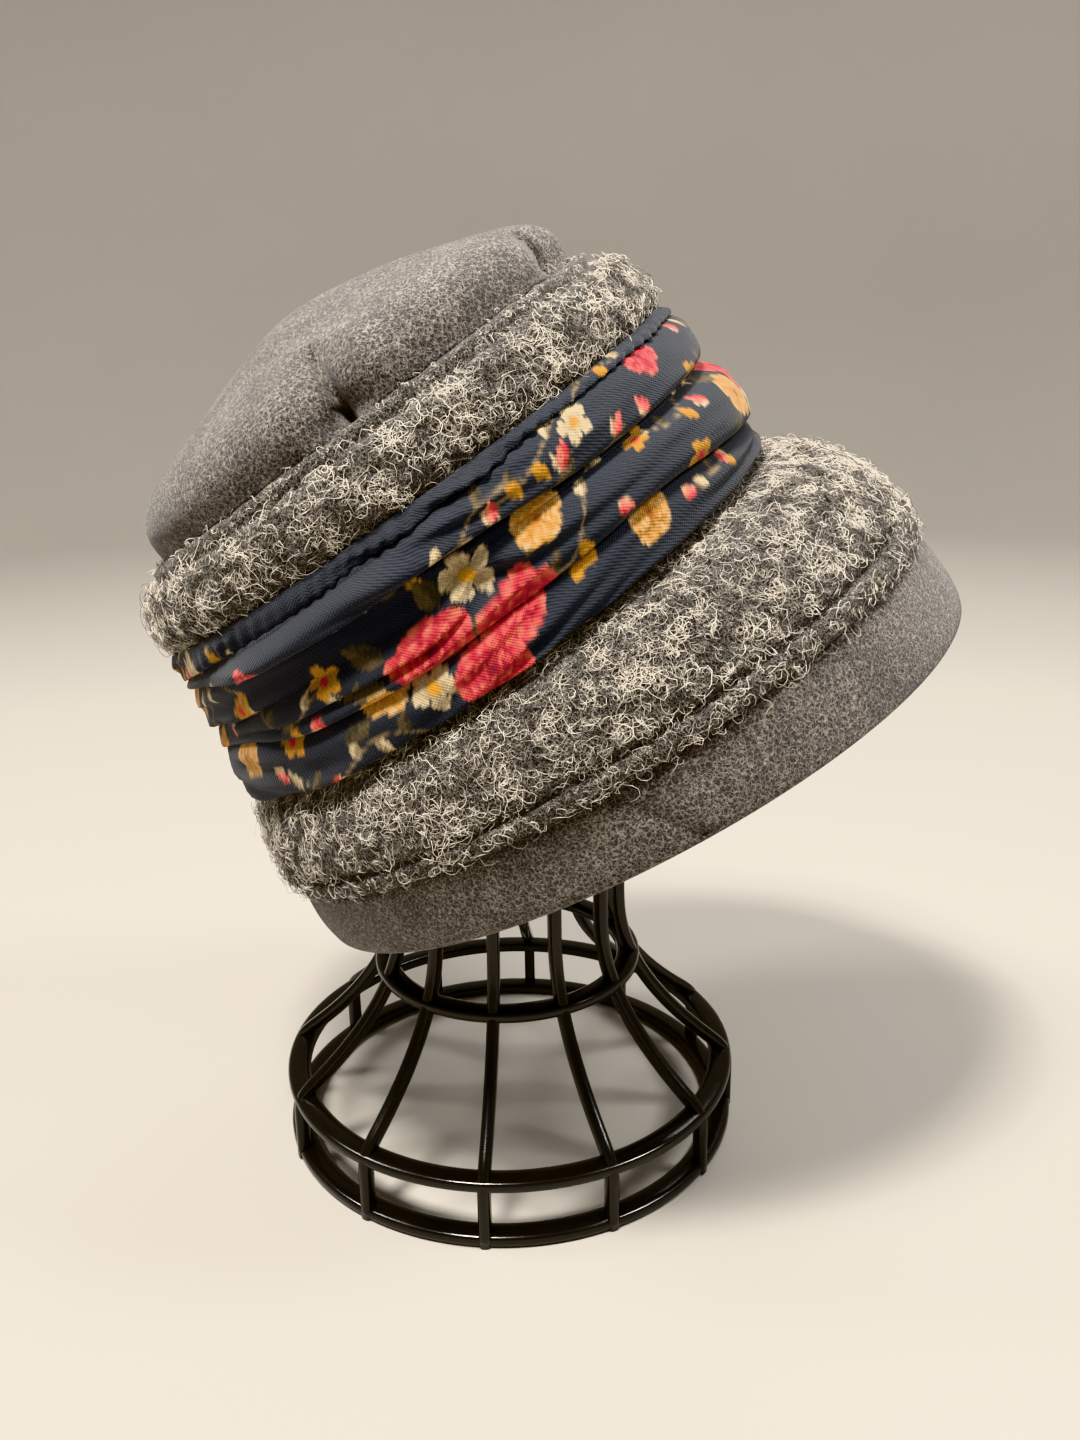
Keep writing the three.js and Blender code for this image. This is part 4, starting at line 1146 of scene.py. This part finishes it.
def double_web(tree, where, coarse, fine, fine_share):
    """A coarse and a fine net of fibres together, each from its scale, waver and
    thickness."""
    return maths(tree, "MAXIMUM", wavy_web(tree, where, *coarse),
                 maths(tree, "MULTIPLY", wavy_web(tree, where, *fine), fine_share))


def add_bump(tree, shader, height, distance, strength=1.0):
    """Fine relief from a height."""
    bump = add_node(tree, "ShaderNodeBump", {"Height": height, "Distance": distance, "Strength": strength})
    tree.links.new(bump.outputs["Normal"], shader.inputs["Normal"])


def kept(name):
    """Turns a function that builds a material into one that builds it once."""
    def wrap(build):
        return lambda context: bpy.data.materials.get(name) or build(name, context.scene.cloche_finishes)
    return wrap


@kept("melton_wool")
def melton_material(name, finishes):
    """Felted wool: a close web of pale fibres over a mottled grey ground."""
    material, tree, shader = new_material(name, roughness=0.93, sheen_weight=0.25, sheen_roughness=0.6)
    where = on_piece(tree)
    web = double_web(tree, where, (620.0, 2.0, 0.16), (1100.0, 2.0, 0.2), 0.7)
    ground = mixed(tree, mottle(tree, where, 900.0, 3.0, 0.7), 0.75, mottle(tree, where, 70.0, 3.0), 0.25)
    level = mixed(tree, ground, 0.75, web, 0.33)
    tint_by(tree, shader, level,
            (0.34, finishes.melton_dark), (0.54, finishes.melton_mid), (0.8, finishes.melton_pale))
    add_bump(tree, shader, level, 0.0005, 0.8)
    return material


@kept("boucle_ground")
def boucle_material(name, finishes):
    """Ground of the boucle: a loose web of pale curls over dark grey."""
    material, tree, shader = new_material(name, roughness=0.97, sheen_weight=0.2)
    where = on_piece(tree)
    web = double_web(tree, where, (560.0, 2.4, 0.1), (1000.0, 2.2, 0.14), 0.8)
    level = mixed(tree, mottle(tree, where, 230.0, 5.0, 0.65), 0.5, web, 0.5)
    tint_by(tree, shader, level,
            (0.33, finishes.boucle_dark), (0.62, finishes.boucle_mid), (0.92, finishes.boucle_pale))
    add_bump(tree, shader, level, 0.0012)
    return material


@kept("boucle_fibre")
def fibre_material(name, finishes):
    """Boucle fibres, from dark grey to cream by each one's tone, which holds painted shade at its ends, and
    by broad patches of painted light on clumps and painted shade between them.
    """
    material, tree, shader = new_material(name, roughness=0.85, sheen_weight=0.3)
    tone = maths(tree, "MULTIPLY", carried(tree, "tone").outputs["Fac"], 0.85)
    # Painted light and shade: broad noise makes fibres paler where clumps would be lit and darker in the gaps
    # between them.
    clump_light_and_shade = maths(tree, "MULTIPLY_ADD", mottle(tree, on_piece(tree), 120.0, 2.0), 1.9, -0.8)
    tint_by(tree, shader, maths(tree, "ADD", tone, clump_light_and_shade),
            (0.1, finishes.boucle_dark), (0.42, finishes.boucle_mid), (0.8, finishes.boucle_pale))
    return material


@kept("floral_cotton")
def floral_material(name, finishes):
    """Printed cotton: the print's colours under a visible weave, whose threads cross at right angles
    along the cloth's own two ways, with the weave's relief painted into the colour as shade and light, and a
    fine mottle."""
    material, tree, shader = new_material(name, roughness=0.82, sheen_weight=0.15)
    flat = add_node(tree, "ShaderNodeUVMap", uv_map="cloth").outputs["UV"]
    ways = add_node(tree, "ShaderNodeSeparateXYZ", {"Vector": flat})
    east, north = ways.outputs["X"], ways.outputs["Y"]
    pitch, twill_pitch, slant = 1.05, 1.68, 0.5
    wave = lambda value, length: maths(tree, "SINE", maths(tree, "MULTIPLY", value, FULL_TURN / length))
    # Painted shade and light of the weave: the threads' relief, also used for the bump, darkens and lightens
    # the print.
    threads = maths(tree, "MULTIPLY", wave(east, pitch), wave(north, pitch))
    twill = wave(maths(tree, "MULTIPLY_ADD", north, slant, east), twill_pitch)
    weave = mixed(tree, threads, 0.8, twill, 0.25)
    # The weave's painted shade mixed with a fine mottle of the cloth's own colour.
    weave_shade_and_mottle = mixed(tree, weave, 0.24, mottle(tree, flat, 1.9, 3.0), 0.5)
    shaded = add_node(tree, "ShaderNodeVectorMath", {
        0: carried(tree, "print").outputs["Color"], 1: maths(tree, "ADD", weave_shade_and_mottle, 0.76)}, operation="MULTIPLY")
    tree.links.new(shaded.outputs[0], shader.inputs["Base Color"])
    add_bump(tree, shader, weave, 0.00012, 0.9)
    return material


@kept("black_moulding")
def moulding_material(name, finishes):
    """Satin black moulding with a slightly uneven gloss."""
    material, tree, shader = new_material(name)
    where = on_piece(tree)
    uneven = mottle(tree, where, 45.0, 4.0)
    tint_by(tree, shader, uneven, (0.3, finishes.moulding), (0.75, dim(finishes.moulding, 1.5)))
    gloss = add_node(tree, "ShaderNodeMapRange", {
        "Value": uneven, "From Min": 0.3, "From Max": 0.7, "To Min": 0.12, "To Max": 0.26})
    tree.links.new(gloss.outputs["Result"], shader.inputs["Roughness"])
    add_bump(tree, shader, mottle(tree, where, 900.0, 2.0), 0.00006, 0.6)
    return material


@kept("pale_floor")
def floor_material(name, finishes):
    """Plain pale floor."""
    material, tree, shader = new_material(name, roughness=0.55)
    uneven = mottle(tree, on_piece(tree), 3.0, 3.0)
    tint_by(tree, shader, uneven, (0.3, finishes.floor), (0.7, dim(finishes.floor, 0.97)))
    return material


def add_camera(context):
    """Camera at the height, distance and pitch of the photograph's."""
    place = np.array([0.01401, -0.42182, 0.29347])
    pitch, roll = math.radians(17.7207), math.radians(-0.9762)
    data = bpy.data.cameras.new("view_camera")
    data.sensor_width = 36
    data.lens = 30.416
    data.clip_start = 0.01
    camera = bpy.data.objects.new("view_camera", data)
    context.scene.collection.objects.link(camera)
    camera.matrix_world = (
        Matrix.Translation(stand_axis() + place) @ Matrix.Rotation(math.pi / 2 - pitch, 4, "X")
        @ Matrix.Rotation(roll, 4, "Z"))
    context.scene.camera = camera


def add_light(context, name, place, aim, width, watts, tint):
    """Soft square light that points at a place and isn't seen itself."""
    data = bpy.data.lights.new(name, "AREA")
    data.size = width
    data.energy = watts
    data.color = tint
    light = bpy.data.objects.new(name, data)
    context.scene.collection.objects.link(light)
    back = np.array(place) - np.array(aim)
    back = back / np.linalg.norm(back)
    side = np.cross((0, 0, 1), back)
    side = side / np.linalg.norm(side)
    turn = Matrix(np.stack([side, np.cross(back, side), back], -1).tolist()).to_4x4()
    light.matrix_world = Matrix.Translation(place) @ turn
    light.visible_camera = False


class CLOCHE_OT_stage(bpy.types.Operator):
    """Camera, pale floor that sweeps up into a wall all round, and soft studio light"""
    bl_idname = "cloche.stage"
    bl_label = "Stage"

    def execute(self, context):
        add_camera(context)
        floor_radius, cove_radius, wall_height, sides = 1.5, 0.8, 1.2, 96
        cove = np.linspace(0, math.pi / 2, 13)
        wall_radius = floor_radius + cove_radius
        reach = np.concatenate([[0.3, 0.8], floor_radius + cove_radius * np.sin(cove), [wall_radius]])
        level = np.concatenate([[0, 0], cove_radius * (1 - np.cos(cove)), [cove_radius + wall_height]])
        angle = around(sides)
        rings = turned(reach[:, None], level[:, None], angle)
        points = np.concatenate([rings.reshape(-1, 3), [[0, 0, 0]]])
        middle = fan(np.arange(sides), len(points) - 1)
        floor = make_piece(
            "studio_floor", points, ring_quads(len(rings), sides)[:, ::-1], middle, floor_material(context))
        aim = (0, 0, 0.17)
        for name, place, width, watts, tint in LIGHTS:
            add_light(context, name, place, aim, width, watts, tint)
        world = bpy.data.worlds.new("studio_world")
        world.use_nodes = True
        sky = world.node_tree.nodes["Background"]
        sky.inputs["Color"].default_value = (1, 0.985, 0.96, 1)
        sky.inputs["Strength"].default_value = 0.24
        context.scene.world = world
        context.scene.view_settings.view_transform = "Khronos PBR Neutral"
        return {"FINISHED"}


class CLOCHE_PT_panel(bpy.types.Panel):
    """Sizes and pieces of the hat and its stand"""
    bl_idname = "CLOCHE_PT_panel"
    bl_label = "Cloche"
    bl_space_type = "VIEW_3D"
    bl_region_type = "UI"
    bl_category = "Cloche"

    def draw(self, context):
        for operator in OPERATORS:
            self.layout.operator(operator.bl_idname)
        for group in GROUPS:
            settings = getattr(context.scene, group)
            for name in settings.__annotations__:
                self.layout.prop(settings, name)


OPERATORS = (
    CLOCHE_OT_stage, CLOCHE_OT_crown_tip, CLOCHE_OT_crown_side, CLOCHE_OT_floral_band,
    CLOCHE_OT_brim, CLOCHE_OT_brim_hem, CLOCHE_OT_stand_ribs, CLOCHE_OT_stand_rings,
)
GROUPS = {
    "cloche_hat": HatSizes, "cloche_cloth": ClothSizes,
    "cloche_stand": StandSizes, "cloche_finishes": Finishes,
}


def register():
    """Adds the settings, the operators and the panel."""
    for kind in (*GROUPS.values(), *OPERATORS, CLOCHE_PT_panel):
        bpy.utils.register_class(kind)
    for name, kind in GROUPS.items():
        setattr(bpy.types.Scene, name, PointerProperty(type=kind))


def unregister():
    """Takes them away again."""
    for name in GROUPS:
        delattr(bpy.types.Scene, name)
    for kind in (CLOCHE_PT_panel, *reversed(OPERATORS), *reversed(GROUPS.values())):
        bpy.utils.unregister_class(kind)


def main():
    """Builds the stage and every piece."""
    register()
    bpy.ops.cloche.stage()
    bpy.ops.cloche.crown_tip()
    bpy.ops.cloche.crown_side()
    bpy.ops.cloche.floral_band()
    bpy.ops.cloche.brim()
    bpy.ops.cloche.brim_hem()
    bpy.ops.cloche.stand_ribs()
    bpy.ops.cloche.stand_rings()


if __name__ == "__main__":
    main()
